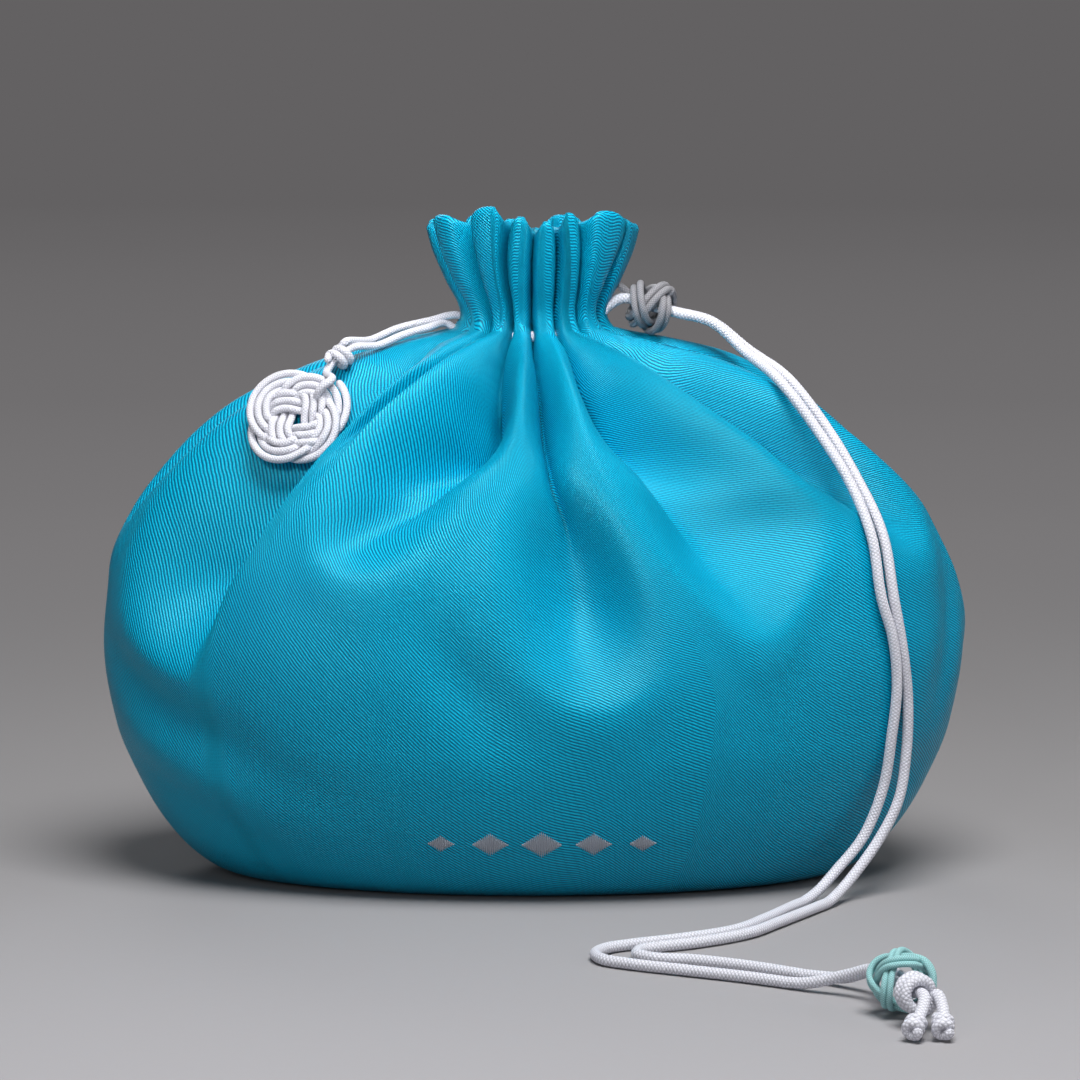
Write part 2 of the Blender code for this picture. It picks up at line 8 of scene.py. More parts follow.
import bmesh
import bpy
import numpy as np
from bpy.props import FloatProperty, FloatVectorProperty, IntProperty, PointerProperty
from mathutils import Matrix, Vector


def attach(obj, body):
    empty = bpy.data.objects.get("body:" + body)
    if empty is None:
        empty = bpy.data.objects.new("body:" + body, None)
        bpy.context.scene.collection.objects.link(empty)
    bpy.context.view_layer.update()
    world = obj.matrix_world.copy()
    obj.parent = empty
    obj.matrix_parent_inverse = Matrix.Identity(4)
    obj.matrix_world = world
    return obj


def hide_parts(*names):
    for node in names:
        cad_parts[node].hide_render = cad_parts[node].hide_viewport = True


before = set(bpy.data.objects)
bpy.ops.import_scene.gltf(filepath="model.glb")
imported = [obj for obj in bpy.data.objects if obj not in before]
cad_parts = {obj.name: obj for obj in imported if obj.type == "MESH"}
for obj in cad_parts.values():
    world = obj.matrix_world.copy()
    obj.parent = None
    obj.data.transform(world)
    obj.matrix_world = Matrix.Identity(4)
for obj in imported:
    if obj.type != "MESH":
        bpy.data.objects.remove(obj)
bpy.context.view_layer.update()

bl_info = {
    "name": "Drawstring pouch",
    "version": (1, 0, 0),
    "blender": (4, 5, 0),
    "location": "3D View > Sidebar > Pouch",
    "description": "Satin drawstring pouch with braided cords, knots and a plain stage",
    "category": "Add Mesh",
}

MM = 0.001

# cloth: height, half width and half depth of the filled bag, the neck and the ruffle
PROFILE = (
    (0.0, 67.0, 31.5), (1.0, 72.0, 35.0), (3.5, 77.0, 38.8), (12.0, 85.5, 45.0),
    (22.0, 91.5, 49.5), (36.0, 97.2, 53.2), (56.0, 100.0, 55.0), (70.6, 98.0, 54.2),
    (84.5, 92.7, 51.7), (98.3, 82.8, 47.0), (108.7, 71.2, 41.0), (115.6, 58.5, 35.0),
    (121.0, 44.5, 28.5), (124.8, 29.0, 21.0), (127.0, 18.6, 17.0), (130.5, 17.0, 16.2),
    (138.0, 20.3, 18.8), (146.0, 23.6, 21.4), (152.0, 25.0, 22.6), (158.0, 26.0, 23.4),
)
NECK_Z = 127.0
NECK_DEPTH = 9.3
RIM_Z = 151.0
RIM_DEPTH = 11.5
RIM_WAVE = 2.4
RUFFLE_Z = 130.5
RUFFLE_ROWS = 18
THROAT_Z = 134.0
CLOTH_THICK = 0.8
BOWL_SOFT = 5.0
BOWL_RISE = 19.0
BOWL_LENGTH = 27.0
LIP_SWELL = 0.9
CREST = 1.5
ROUND_CREST = 2.6
TUBE_ROUND = 4.0
# height from which the left and the right side of each pleat turn into round tubes
TUBE_FROM = np.full((14, 2), 98.0)
TUBE_FROM[1, 1] = TUBE_FROM[2, 0] = TUBE_FROM[2, 1] = TUBE_FROM[3, 0] = 76.0
PLEAT_COLUMNS = 15
BACK_PLEAT = 8
# how much deeper each valley dips just under the drawn neck, where the gathered cloth falls inward
HOLLOWS = np.array((3.0, 14.0, 7.0, 9.0, 9.0, 4.0, 3.0, 5.0, 6.0, 5.0, 4.0, 5.0, 3.0, 4.0))

# pleats from front left round to the right: ridge line (height, degrees from the front),
# valley line on its right, valley depth, height where the valley runs out, rim lift, depth left at the rim
PLEATS = (
    (((0, -46), (66, -44), (84, -40), (100, -36), (110, -33.5), (121, -33), (127, -46), (134, -58),
      (152, -62)),
     ((0, -42), (80, -38.5), (100, -34), (110, -31.5), (121, -30), (127, -35), (132, -41), (152, -43)),
     2.0, 108, -1.6, 1.0),
    (((0, -38), (80, -36), (100, -32), (110, -29.5), (121, -27), (130, -26.5), (139, -25), (152, -22.5)),
     ((0, -22), (60, -22), (80, -24), (93, -16), (103, -10), (112, -8), (121, -11), (127, -17), (139, -19.5),
      (152, -14)), 14.0, 79, 0.6, 1.0),
    (((0, -8), (46, -6), (68, -6), (85, -6), (107, -2.5), (121, -3), (130, -11), (139, -9.5), (152, -6)),
     ((0, 8), (46, 8), (59, 6.5), (87, 5), (98, 3), (113, 2.2), (121, 2.2), (131, -1.5), (141, -0.5),
      (152, 1.3)), 11.5, 50, -1.7, 1.0),
    (((0, 24), (46, 24), (60, 21), (70, 18), (87, 13), (107, 8.5), (121, 8), (130, 10), (139, 7), (152, 6.5)),
     ((0, 30), (61, 30), (67, 29), (83, 24), (98, 18.5), (113, 15), (121, 16), (128, 20), (140, 17.5),
      (152, 13.5)), 11.5, 65, -2.8, 1.0),
    (((0, 44), (60, 42), (72, 45), (85, 50), (95, 44), (104, 39.5), (111, 35), (121, 31), (130, 29),
      (139, 24.5), (152, 18.5)),
     ((0, 66), (81, 63), (92, 55), (103, 47.5), (112, 43), (121, 41.5), (130, 41), (137, 36), (152, 28.5)),
     12.5, 81, -0.8, 0.9),
    (((0, 84), (85, 79), (100, 71), (113, 64), (121, 60), (130, 52), (139, 43.5), (152, 43)),
     ((0, 96), (85, 94), (110, 89), (121, 82), (130, 68), (152, 60)), 9.0, 66, -0.5, 0.05),
    (((0, 106), (85, 108), (110, 113), (121, 106), (130, 88), (139, 80), (152, 78)),
     ((0, 122), (85, 124), (110, 126), (127, 118), (152, 98)), 9.5, 58, -3.8, 1.0),
    (((0, 138), (85, 138), (110, 139), (127, 138), (152, 122)),
     ((0, 152), (80, 150), (110, 152), (127, 152), (152, 142)), 12.0, 74, -4.0, 0.8),
    (((0, 166), (85, 163), (110, 165), (127, 166), (152, 164)),
     ((0, 180), (60, 179), (85, 178), (110, 178), (127, 178), (152, 178)), 10.5, 50, -2.5, 1.0),
    (((0, 194), (85, 192), (110, 191), (127, 190), (152, 192)),
     ((0, 208), (80, 207), (110, 204), (127, 202), (152, 203)), 12.0, 70, -3.5, 1.0),
    (((0, 222), (85, 220), (110, 217), (127, 214), (152, 215)),
     ((0, 236), (85, 233), (110, 229), (127, 226), (152, 226)), 9.5, 60, -2.5, 0.8),
    (((0, 248), (85, 245), (110, 241), (127, 238), (152, 238)),
     ((0, 259), (85, 256), (110, 253), (127, 250), (152, 248)), 11.0, 78, -3.5, 1.0),
    (((0, 268), (85, 267), (110, 266), (127, 262), (152, 258)),
     ((0, 276), (85, 275), (110, 276), (121, 278), (127, 273), (152, 266)), 8.0, 84, -3.0, 0.9),
    (((0, 284), (84, 285), (110, 289), (121, 291), (127, 284), (152, 274)),
     ((0, 306), (68, 311), (84, 318), (99, 323), (110, 325), (121, 318), (127, 300), (152, 285)),
     13.5, 55, -3.6, 1.0),
)
# soft swells and hollows of the filled part: degrees, height, tilt, half length, half width, rise
SWELLS = (
    (-57, 42, -20, 36, 7.0, -2.4), (-58, 30, -20, 32, 7.0, 1.0), (-56, 17, -18, 26, 6.0, -1.2),
    (-9, 52, -58, 15, 7.0, -2.2), (74, 58, 65, 20, 8.0, -1.6), (66, 24, 20, 24, 7.0, -1.0),
    (84, 119, 0, 40, 5.0, 1.4), (140, 30, 20, 26, 8.0, -1.6), (205, 36, -25, 28, 8.0, -1.8),
    (250, 44, 30, 22, 8.0, -1.6),
)

# drawstring: one cord round the neck with both ends through the lock, the bead and the stopper
CORD_D = 2.4
CORD_APART = 1.45
FLOOR_Z = 1.35
NECK_RING_R = 12.5
NECK_RING_Z = 125.6
NECK_RING_OPEN = 12.0
LOCK_AT = (26.9, 0.0, 132.0)
LOCK_AXIS = (0.97, 0.0, -0.243)
LOCK_TRAVEL = 8.0
BEAD_AT = (73.0, -147.0, 6.75)
BEAD_AXIS = (0.3, -0.954, 0.0)
STOPPER_FROM = 7.6
STOPPER_TURNS = 2
STOPPER_PITCH = 2.75
END_KNOT_THIN = 0.86
FRONT_STRAND = (
    (48.6, -5.0, 121.8), (56.7, -18.8, 115.0), (64.7, -23.1, 104.3), (70.9, -27.5, 94.4),
    (75.8, -33.5, 81.9), (78.0, -35.4, 68.3), (80.5, -34.6, 59.9), (81.8, -33.1, 48.8),
    (80.9, -31.8, 37.0), (79.0, -30.5, 24.1), (74.5, -31.5, 13.3), (68.4, -35.0, 6.6),
    (64.5, -39.0, 3.2), (60.2, -45.0, 1.35), (51.0, -62.0, 1.35), (44.0, -73.5, 1.35),
    (31.0, -83.0, 1.35), (20.5, -88.5, 1.35), (15.8, -91.8, 1.35), (13.2, -97.0, 1.35),
    (15.0, -103.2, 1.35), (20.0, -106.8, 1.35), (31.0, -112.5, 1.35), (44.0, -119.2, 1.35),
    (56.0, -126.8, 1.9), (63.5, -131.4, 4.6),
)
BACK_STRAND = (
    (49.5, -1.8, 122.0), (58.8, -16.1, 115.4), (67.0, -20.8, 104.6), (73.0, -25.4, 94.4),
    (78.4, -31.6, 82.3), (80.8, -34.1, 68.4), (83.1, -32.6, 56.3), (84.5, -30.4, 45.3),
    (84.4, -29.2, 32.2), (82.6, -29.8, 21.3), (77.8, -32.0, 12.4), (73.8, -35.0, 7.5),
    (70.1, -38.5, 3.8), (66.0, -45.0, 1.5), (60.7, -54.0, 1.35), (53.5, -66.0, 1.35),
    (46.5, -77.0, 1.35), (34.0, -87.0, 1.35), (26.0, -91.2, 1.35), (22.8, -93.6, 1.35),
    (21.9, -97.4, 1.35), (25.0, -101.0, 1.35), (33.0, -103.0, 1.35), (44.0, -108.6, 1.35),
    (56.0, -117.4, 1.35), (64.0, -124.0, 2.4), (68.6, -129.6, 5.2),
)
FRONT_TAIL = ((75.3, -163.8, 5.4), (73.2, -168.6, 2.9))
BACK_TAIL = ((79.2, -163.6, 5.4), (78.8, -168.2, 2.9))

# ornament: one cord looped round the drawstring, tied in a button knot and a flat knot
ORNAMENT_D = 1.8
LOOP_ANGLE = -81.0
LOOP_R = 2.6
UPPER_STRAND = ((-17.0, -2.6, 129.9), (-24.0, -3.6, 128.6), (-31.6, -5.5, 126.8), (-37.0, -8.8, 124.6))
LOWER_STRAND = ((-15.6, -2.5, 124.6), (-20.0, -2.8, 128.0), (-24.0, -6.6, 127.3), (-29.5, -8.6, 125.8),
                (-35.5, -11.6, 123.5))
BUTTON_AT = (-43.35, -16.6, 121.4)
BUTTON_AXIS = (-0.70, -0.50, -0.51)
BUTTON_TURNS = 2
BUTTON_PITCH = 2.0
HANGER = ((-46.6, -19.6, 118.0),)
FLAT_AT = (-53.4, -22.9, 108.0)
FLAT_NORMAL = (-0.24, -0.86, 0.45)
FLAT_MEAN_R = 6.65
FLAT_SWING = 2.9
FLAT_PLIES = 3
FLAT_PITCH = 1.9
FLAT_CORD_D = 1.75

# lock knot and bead: two-ply knots of three leads tied round the two strands
LOCK_D = 1.7
BEAD_D = 1.25
LOCK_KNOT = dict(bights=2, plies=2, pitch=1.8, half=3.6, wide=4.15, tall=2.95, bulge=1.7, reach=48.0)
BEAD_KNOT = dict(bights=4, plies=2, pitch=1.3, half=3.9, wide=3.85, tall=3.6, bulge=1.67, reach=50.0)
# the lock cord's two melted ends: where each leaves the knot and where it stops
LOCK_ENDS = (((22.9, -0.8, 134.2), (21.2, -1.2, 135.6), (20.0, -1.4, 136.6)),
             ((29.3, -0.6, 133.6), (30.9, -1.0, 134.6), (31.7, -1.2, 135.3)))

# small embroidered lozenges low on the front: sideways place and half height of each, and the row's height
LOZENGES = ((-20.5, 2.1), (-9.5, 2.9), (2.0, 3.3), (13.5, 2.9), (24.5, 2.1))
LOZENGE_Z = 14.6

# twill direction in the cloth, in degrees from level, round the bag from the back by the left
TWILL_LEAN = ((-180, 42), (-110, 50), (-40, 55), (-18, 50), (6, 34), (30, 30), (70, 27), (120, 32), (180, 42))

# the same in the ruffle, on the left and on the right of each pleat's ridge
RUFFLE_LEAN = np.array(((35, 35), (40, 15), (38, -30), (24, 10), (12, 15), (-45, 42), (30, 35), (35, -20),
                        (30, 30), (25, 35), (-20, 30), (30, 35), (38, 20), (35, 30)), float)

# SATIN is the threads' own colour on the floats; SATIN_SHADE is painted shade down between the twill ribs
SATIN = "02B2D6"
SATIN_SHADE = "00587F"
WHITE = "E2E2EC"
GREY = "96959B"
MINT = "A6E0E2"
THREAD = "A9B0BC"
# the paper is one grey: the first colour is painted light in front, the second painted shade further off,
# mixed by distance where the light falls off
FLOOR_NEAR_PAINTED_LIGHT = "9E9C9F"
FLOOR_FAR_PAINTED_SHADE = "8C8A8B"
# what the camera sees of the floor far off: a painted glowing grey in place of lit paper, greyer with
# distance as painted shade where the light falls off, ending in the room's grey
FAR_PAINTED_GLOW = ((0.0, "828081"), (0.12, "807E7F"), (0.2, "777576"), (0.3, "706E6F"), (0.7, "676566"),
             (1.0, "636162"))
# camera in metres, and how far it looks down in degrees
CAMERA_AT = (0.0016, -0.9, 0.18)
CAMERA_DIP = 6.495

MATH = "ShaderNodeMath"


def linear(code):
    """sRGB hex to the linear colour that a shader takes."""
    values = [int(code[i:i + 2], 16) / 255 for i in (0, 2, 4)]
    return [v / 12.92 if v <= 0.04045 else ((v + 0.055) / 1.055) ** 2.4 for v in values] + [1.0]


def size(name, text, millimetres, low=0.1, high=20.0):
    """A length that shows in the panel; it is kept in metres."""
    return FloatProperty(name=name, description=text, default=millimetres * MM, min=low * MM, max=high * MM,
                         precision=5, unit="LENGTH")


def tint(name, text, code):
    """A colour that shows in the panel."""
    return FloatVectorProperty(name=name, description=text, size=4, subtype="COLOR", default=linear(code),
                               min=0.0, max=1.0)


class PouchClothSettings(bpy.types.PropertyGroup):
    """Sizes and colours of the bag's satin."""
    hem: size("Hem thickness", "Thickness of the turned hem at the rim", 2.0)
    twill: size("Twill spacing", "Distance from one twill rib to the next", 0.6, 0.2, 3.0)
    satin: tint("Satin", "Colour of the raised threads", SATIN)
    # painted shade down between the twill ribs
    shade: tint("Satin shade", "Colour down between the twill ribs", SATIN_SHADE)
    fill: FloatProperty(name="Filling", description="How tightly the pouch is filled", default=0.85, min=0.0,
                        max=1.0, subtype="FACTOR")


class PouchCordSettings(bpy.types.PropertyGroup):
    """Sizes and colour of the white cords."""
    drawstring: size("Drawstring thickness", "Diameter of the drawstring", CORD_D)
    ornament: size("Ornament thickness", "Diameter of the ornament cord", ORNAMENT_D)
    flat_knot: size("Flat knot strand", "Diameter of a strand in the flat knot, pressed tight", FLAT_CORD_D)
    picks: IntProperty(name="Braid yarns", description="Yarns that show round half of a cord", default=6,
                       min=3, max=16)
    white: tint("White", "Colour of the drawstring and the ornament", WHITE)


class PouchKnotSettings(bpy.types.PropertyGroup):
    """Sizes and colours of the lock knot and the bead."""
    lock: size("Lock cord", "Diameter of the grey cord of the lock knot", LOCK_D)
    bead: size("Bead cord", "Diameter of the cord of the slider bead", BEAD_D)
    grey: tint("Lock grey", "Colour of the lock knot", GREY)
    mint: tint("Bead mint", "Colour of the slider bead", MINT)


class PouchStitchSettings(bpy.types.PropertyGroup):
    """Sizes and colour of the embroidered lozenges."""
    thread: size("Thread thickness", "Width of one embroidery stitch", 0.5, 0.1, 2.0)
    spacing: size("Stitch spacing", "Distance from one stitch to the next", 0.42, 0.1, 3.0)
    slope: FloatProperty(name="Lozenge slope", description="Half width of a lozenge to its half height",
                         default=1.35, min=0.3, max=3.0)
    grey: tint("Thread", "Colour of the embroidery thread", THREAD)


class PouchStageSettings(bpy.types.PropertyGroup):
    """Floor, lights and camera."""
    # one paper, painted light in front and painted shade further off
    near_painted_light: tint("Floor", "Colour of the paper near the pouch", FLOOR_NEAR_PAINTED_LIGHT)
    far_painted_shade: tint("Floor further off", "Colour of the paper behind the pouch", FLOOR_FAR_PAINTED_SHADE)
    key: FloatProperty(name="Main light", description="Power of the big light above", default=9.3, min=0.0,
                       unit="POWER")
    fill: FloatProperty(name="Soft lights", default=1.3, min=0.0, unit="POWER",
                        description="Power of the lights in front and at the right; 2.2 times as much behind")
    neck: FloatProperty(name="Neck light", description="Power of the narrow light on the ruffle",
                        default=0.04, min=0.0, unit="POWER")
    room: FloatProperty(name="Room light", description="Strength of the even light all round", default=0.09,
                        min=0.0, max=1.0, subtype="FACTOR")
    lens: FloatProperty(name="Lens", description="Focal length in millimetres for a 36 mm wide picture",
                        default=130.0, min=20.0, max=400.0)


def smooth(points, x):
    """Monotone cubic curve through the points."""
    p = np.array(points, float)
    xs, ys = p[:, 0], p[:, 1]
    h = np.diff(xs)
    d = np.diff(ys) / h
    m = np.zeros(len(xs))
    same = d[:-1] * d[1:] > 0
    w1, w2 = 2 * h[1:] + h[:-1], h[1:] + 2 * h[:-1]
    safe = np.where(same, d[:-1], 1), np.where(same, d[1:], 1)
    m[1:-1] = np.where(same, (w1 + w2) / (w1 / safe[0] + w2 / safe[1]), 0)
    m[0], m[-1] = d[0], d[-1]
    x = np.clip(x, xs[0], xs[-1])
    i = np.clip(np.searchsorted(xs, x, side="right") - 1, 0, len(h) - 1)
    t = (x - xs[i]) / h[i]
    a, b = 2 * t**3 - 3 * t**2 + 1, t**3 - 2 * t**2 + t
    c, e = 3 * t**2 - 2 * t**3, t**3 - t**2
    return a * ys[i] + b * h[i] * m[i] + c * ys[i + 1] + e * h[i] * m[i + 1]


def step(a, b, x):
    """Rises softly from 0 at a to 1 at b."""
    t = np.clip((x - a) / (b - a), 0, 1)
    return t * t * (3 - 2 * t)


def unit(v):
    """The direction alone."""
    v = np.array(v, float)
    return v / np.linalg.norm(v)


def envelope(phi, z):
    """Outer outline of the pouch that the ridges touch."""
    wide = smooth([(r[0], r[1]) for r in PROFILE], z)
    deep = smooth([(r[0], r[2]) for r in PROFILE], z)
    return np.stack([wide * np.sin(phi), -deep * np.cos(phi), z + 0 * phi], -1)


def outward(phi, z):
    """Direction that leaves the outline at right angles."""
    e = 0.02
    along = envelope(phi + e, z) - envelope(phi - e, z)
    up = envelope(phi, z + 0.3) - envelope(phi, z - 0.3)
    n = np.cross(along, up)
    return n / np.linalg.norm(n, axis=-1, keepdims=True)


def valley_depth(z, depth, end, left, across):
    """Depth of a valley; it runs out downward in a bowl, so its sides end higher than its middle."""
    low = end - BOWL_SOFT + BOWL_RISE * across**2
    t = np.clip((z - low) / BOWL_LENGTH, 0, 1)
    body = depth * np.sin(0.5 * np.pi * t) ** 1.5
    body -= LIP_SWELL * np.exp(-((z - low + 3.0) / 7.0) ** 2)
    neck = NECK_DEPTH + (RIM_DEPTH * left - NECK_DEPTH) * step(132.0, 150.0, z)
    return body + (neck - body) * step(113.0, NECK_Z, z)


def pleat_angles(pleat, place, z):
    """Where every column stands round the bag, how deep it lies and how far it is from its valley."""
    phi, depth = np.zeros(len(pleat)), np.zeros(len(pleat))
    across = np.abs(place - 1)
    for i, (ridge, valley, deep, end, _, left) in enumerate(PLEATS):
        m = pleat == i
        turn = 360 if i == len(PLEATS) - 1 else 0
        r, v = smooth(ridge, z[m]), smooth(valley, z[m])
        q = smooth(PLEATS[(i + 1) % len(PLEATS)][0], z[m]) + turn
        s = place[m]
        phi[m] = np.where(s < 1, r + (v - r) * s, v + (q - v) * (s - 1))
        depth[m] = valley_depth(z[m], deep, end, left, across[m])
    return phi, depth, across


def cloth_row(pleat, place, z):
    """Outer points of the cloth for every column at its own height."""
    phi, depth, across = pleat_angles(pleat, place, z)
    start = np.where(place < 1, TUBE_FROM[pleat, 0], TUBE_FROM[pleat, 1])
    wide = (1 - across**2) ** np.where(start < 90.0, ROUND_CREST, CREST)
    tube = 1 - np.sqrt(np.clip(1 - (1 - across) ** TUBE_ROUND, 0, 1))
    push = -depth * (wide + (tube - wide) * step(start, start + 26.0, z))
    under_neck = step(93.0, 113.0, z) * (1 - step(118.0, 127.5, z))
    push -= HOLLOWS[pleat] * (0.5 + 0.5 * np.cos(np.pi * across)) * under_neck
    for deg, height, tilt, length, width, rise in SWELLS:
        a = 95.0 * np.radians((phi - deg + 180) % 360 - 180)
        b = z - height
        c, s = np.cos(np.radians(tilt)), np.sin(np.radians(tilt))
        push += rise * np.exp(-((a * c + b * s) / length) ** 2 - ((b * c - a * s) / width) ** 2)
    rad = np.radians(phi)
    return envelope(rad, z) + outward(rad, z) * push[:, None]


def rim_height(pleat, place):
    """The rim's arch over every pleat."""
    lift, left = np.array([p[4] for p in PLEATS]), np.array([p[5] for p in PLEATS])
    a, b = lift[pleat], lift[(pleat + 1) % len(PLEATS)]
    w = place / 2
    dip = left[pleat] * (1 - np.abs(place - 1)) ** 3
    return RIM_Z + a + (b - a) * w * w * (3 - 2 * w) + RIM_WAVE * (1 - 2 * dip)


def route(points, spacing):
    """Points read from a smooth curve through the chosen points, about one spacing apart."""
    p = np.array(points, float)
    q = np.vstack([2 * p[0] - p[1], p, 2 * p[-1] - p[-2]])
    out = []
    for i in range(1, len(q) - 2):
        a, b, c, d = q[i - 1:i + 3]
        ka, kb, kc = (np.linalg.norm(v) for v in (b - a, c - b, d - c))
        m1 = ((b - a) * kb**2 / ka + (c - b) * ka) / (ka + kb)
        m2 = ((c - b) * kc + (d - c) * kb**2 / kc) / (kb + kc)
        for t in np.linspace(0, 1, max(1, int(round(kb / spacing))), endpoint=False):
            h = (2 * t**3 - 3 * t**2 + 1, t**3 - 2 * t**2 + t, 3 * t**2 - 2 * t**3, t**3 - t**2)
            out.append(h[0] * b + h[1] * m1 + h[2] * c + h[3] * m2)
    out.append(q[-2])
    out = np.array(out)
    out[:, 2] = np.maximum(out[:, 2], FLOOR_Z)
    return out


def along(centre, axis, run):
    """A point some way along an axis."""
    return tuple(np.array(centre) + unit(axis) * run)


def wrap(centre, axis, first, radius, start, turns, pitch, per_turn):
    """Turns of one strand round another that runs along the axis."""
    ax, e1 = unit(axis), unit(first)
    e2 = np.cross(ax, e1)
    a = np.arange(int(turns * per_turn) + 1) * 2 * np.pi / per_turn
    return [np.array(centre) + ax * (start + pitch * t / (2 * np.pi))
            + radius * (e1 * np.cos(t) + e2 * np.sin(t)) for t in a]


def weave(plane, s, height):
    """Heights of a knot's one line, over and under by turns wherever it crosses itself."""
    a, d = plane[:-1], np.diff(plane, axis=0)
    i, j = np.triu_indices(len(a), 2)
    r = a[j] - a[i]
    di, dj = d[i], d[j]
    den = di[:, 0] * dj[:, 1] - di[:, 1] * dj[:, 0]
    den = np.where(np.abs(den) < 1e-12, 1e-12, den)
    t = (r[:, 0] * dj[:, 1] - r[:, 1] * dj[:, 0]) / den
    u = (r[:, 0] * di[:, 1] - r[:, 1] * di[:, 0]) / den
    hit = (t >= 0) & (t < 1) & (u >= 0) & (u < 1)
    ds = s[1] - s[0]
    si, sj = s[i[hit]] + t[hit] * ds, s[j[hit]] + u[hit] * ds
    over = np.where(np.sin(2 * si) > np.sin(2 * sj), 1.0, -1.0)
    marks = np.concatenate([si, sj])
    values = np.concatenate([over, -over])
    order = np.argsort(marks)
    h = np.interp(s, marks[order], values[order])
    n = max(3, int(0.3 / ds) | 1)
    kernel = np.hanning(n + 2)[1:-1]
    padded = np.concatenate([np.full(n // 2, h[0]), h, np.full(n // 2, h[-1])])
    return height * np.convolve(padded, kernel / kernel.sum(), mode="valid")


def neck_ring(count):
    """The drawstring's turn round the neck, threaded through the pleats."""
    a = np.radians(np.linspace(90 - NECK_RING_OPEN, -270 + NECK_RING_OPEN, count))
    return [(NECK_RING_R * np.sin(t), -NECK_RING_R * np.cos(t), NECK_RING_Z) for t in a]


def strand_out(side):
    """From the neck over the ruffle's foot and straight through the lock."""
    y = CORD_APART * side
    lift = [(14.4, 1.25 * y, 128.3), (17.4, 1.05 * y, 132.0)]
    axis, centre = unit(LOCK_AXIS), np.array(LOCK_AT) + (0, y, 0)
    return lift + [tuple(centre + axis * t) for t in (-6.9, 0.0, 7.0, 6.0 + LOCK_TRAVEL)]


def strand_in(side):
    """Straight through the bead on the floor."""
    axis = unit(BEAD_AXIS)
    across = np.array((-axis[1], axis[0], 0.0))
    centre = np.array(BEAD_AT) + across * CORD_APART * side
    return [tuple(centre + axis * t) for t in (-12.0, -6.0, 0.0, STOPPER_FROM - 0.6)], centre, across


def front_strand():
    """The drawstring's front strand, from the neck to its end."""
    into, axis_at, _ = strand_in(-1)
    end = along(axis_at, BEAD_AXIS, STOPPER_FROM + STOPPER_TURNS * STOPPER_PITCH + 1.2)
    return route(strand_out(-1) + list(FRONT_STRAND) + into + [end] + list(FRONT_TAIL), 0.7)


def back_strand():
    """The drawstring's back strand, with its turns round the front one in the stopper."""
    into, _, across = strand_in(1)
    axis_at = strand_in(-1)[1]
    turns = wrap(axis_at, BEAD_AXIS, across, 2 * CORD_APART, STOPPER_FROM, STOPPER_TURNS, STOPPER_PITCH, 8)
    return route(strand_out(1) + list(BACK_STRAND) + into + turns + list(BACK_TAIL), 0.7)


def flat_knot_axes():
    """The flat knot's outward, rightward and upward directions."""
    n = unit(FLAT_NORMAL)
    right = -unit(np.cross(n, (0, 0, 1)))
    return n, right, np.cross(n, right)


def flat_knot_line():
    """Flat knot of three leads and four lobes, laid three strands wide."""
    n, right, top = flat_knot_axes()
    s = np.linspace(0.0, 8 * np.pi * FLAT_PLIES, 90 * 4 * FLAT_PLIES)

    def lead(v):
        ang = 0.75 * v + np.radians(45)
        r = FLAT_MEAN_R + FLAT_SWING * np.cos(v)
        return np.stack([r * np.cos(ang), r * np.sin(ang)], -1)
    t = lead(s + 0.01) - lead(s - 0.01)
    t /= np.linalg.norm(t, axis=-1, keepdims=True)
    left = np.stack([-t[:, 1], t[:, 0]], -1)
    plane = lead(s) + left * (FLAT_PITCH * (FLAT_PLIES / 2 - s / (8 * np.pi)))[:, None]
    h = weave(plane, s, 0.53 * FLAT_CORD_D)
    return np.array(FLAT_AT) + plane[:, :1] * right + plane[:, 1:] * top + h[:, None] * n


def hanger_end():
    """Over the top right band of the flat knot and down into its lobe."""
    n, right, top = flat_knot_axes()
    diag = unit(right + top)
    c = np.array(FLAT_AT)
    return [tuple(c + diag * a + n * b) for a, b in ((11.5, 3.0), (8.8, 3.2), (6.6, 1.4), (6.4, -0.4))]


def ornament_strands():
    """Short end and button turns, and the line that goes round the drawstring and down to the knot."""
    phi = np.radians(LOOP_ANGLE)
    out = np.array((np.sin(phi), -np.cos(phi), 0))
    ring = out * NECK_RING_R + (0, 0, NECK_RING_Z)
    loop = [ring - out * LOOP_R * np.cos(a) + np.array((0, 0, LOOP_R * np.sin(a)))
            for a in np.radians((100, 60, 30, 0, -30, -60, -100))]
    first = unit(np.cross(BUTTON_AXIS, (0.3, -0.8, 0.2)))
    turns = wrap(BUTTON_AT, BUTTON_AXIS, first, ORNAMENT_D + 0.2, -2.0, BUTTON_TURNS, BUTTON_PITCH, 8)
    end = [turns[-1] + unit(BUTTON_AXIS) * 1.5 + unit((0.5, -0.8, -0.3)) * 1.2]
    before = along(BUTTON_AT, BUTTON_AXIS, -3.6)
    after = along(BUTTON_AT, BUTTON_AXIS, 3.2)
    points = end + turns[::-1] + list(UPPER_STRAND[::-1]) + loop + list(LOWER_STRAND)
    return route(points + [before, after] + list(HANGER) + hanger_end(), 0.5)


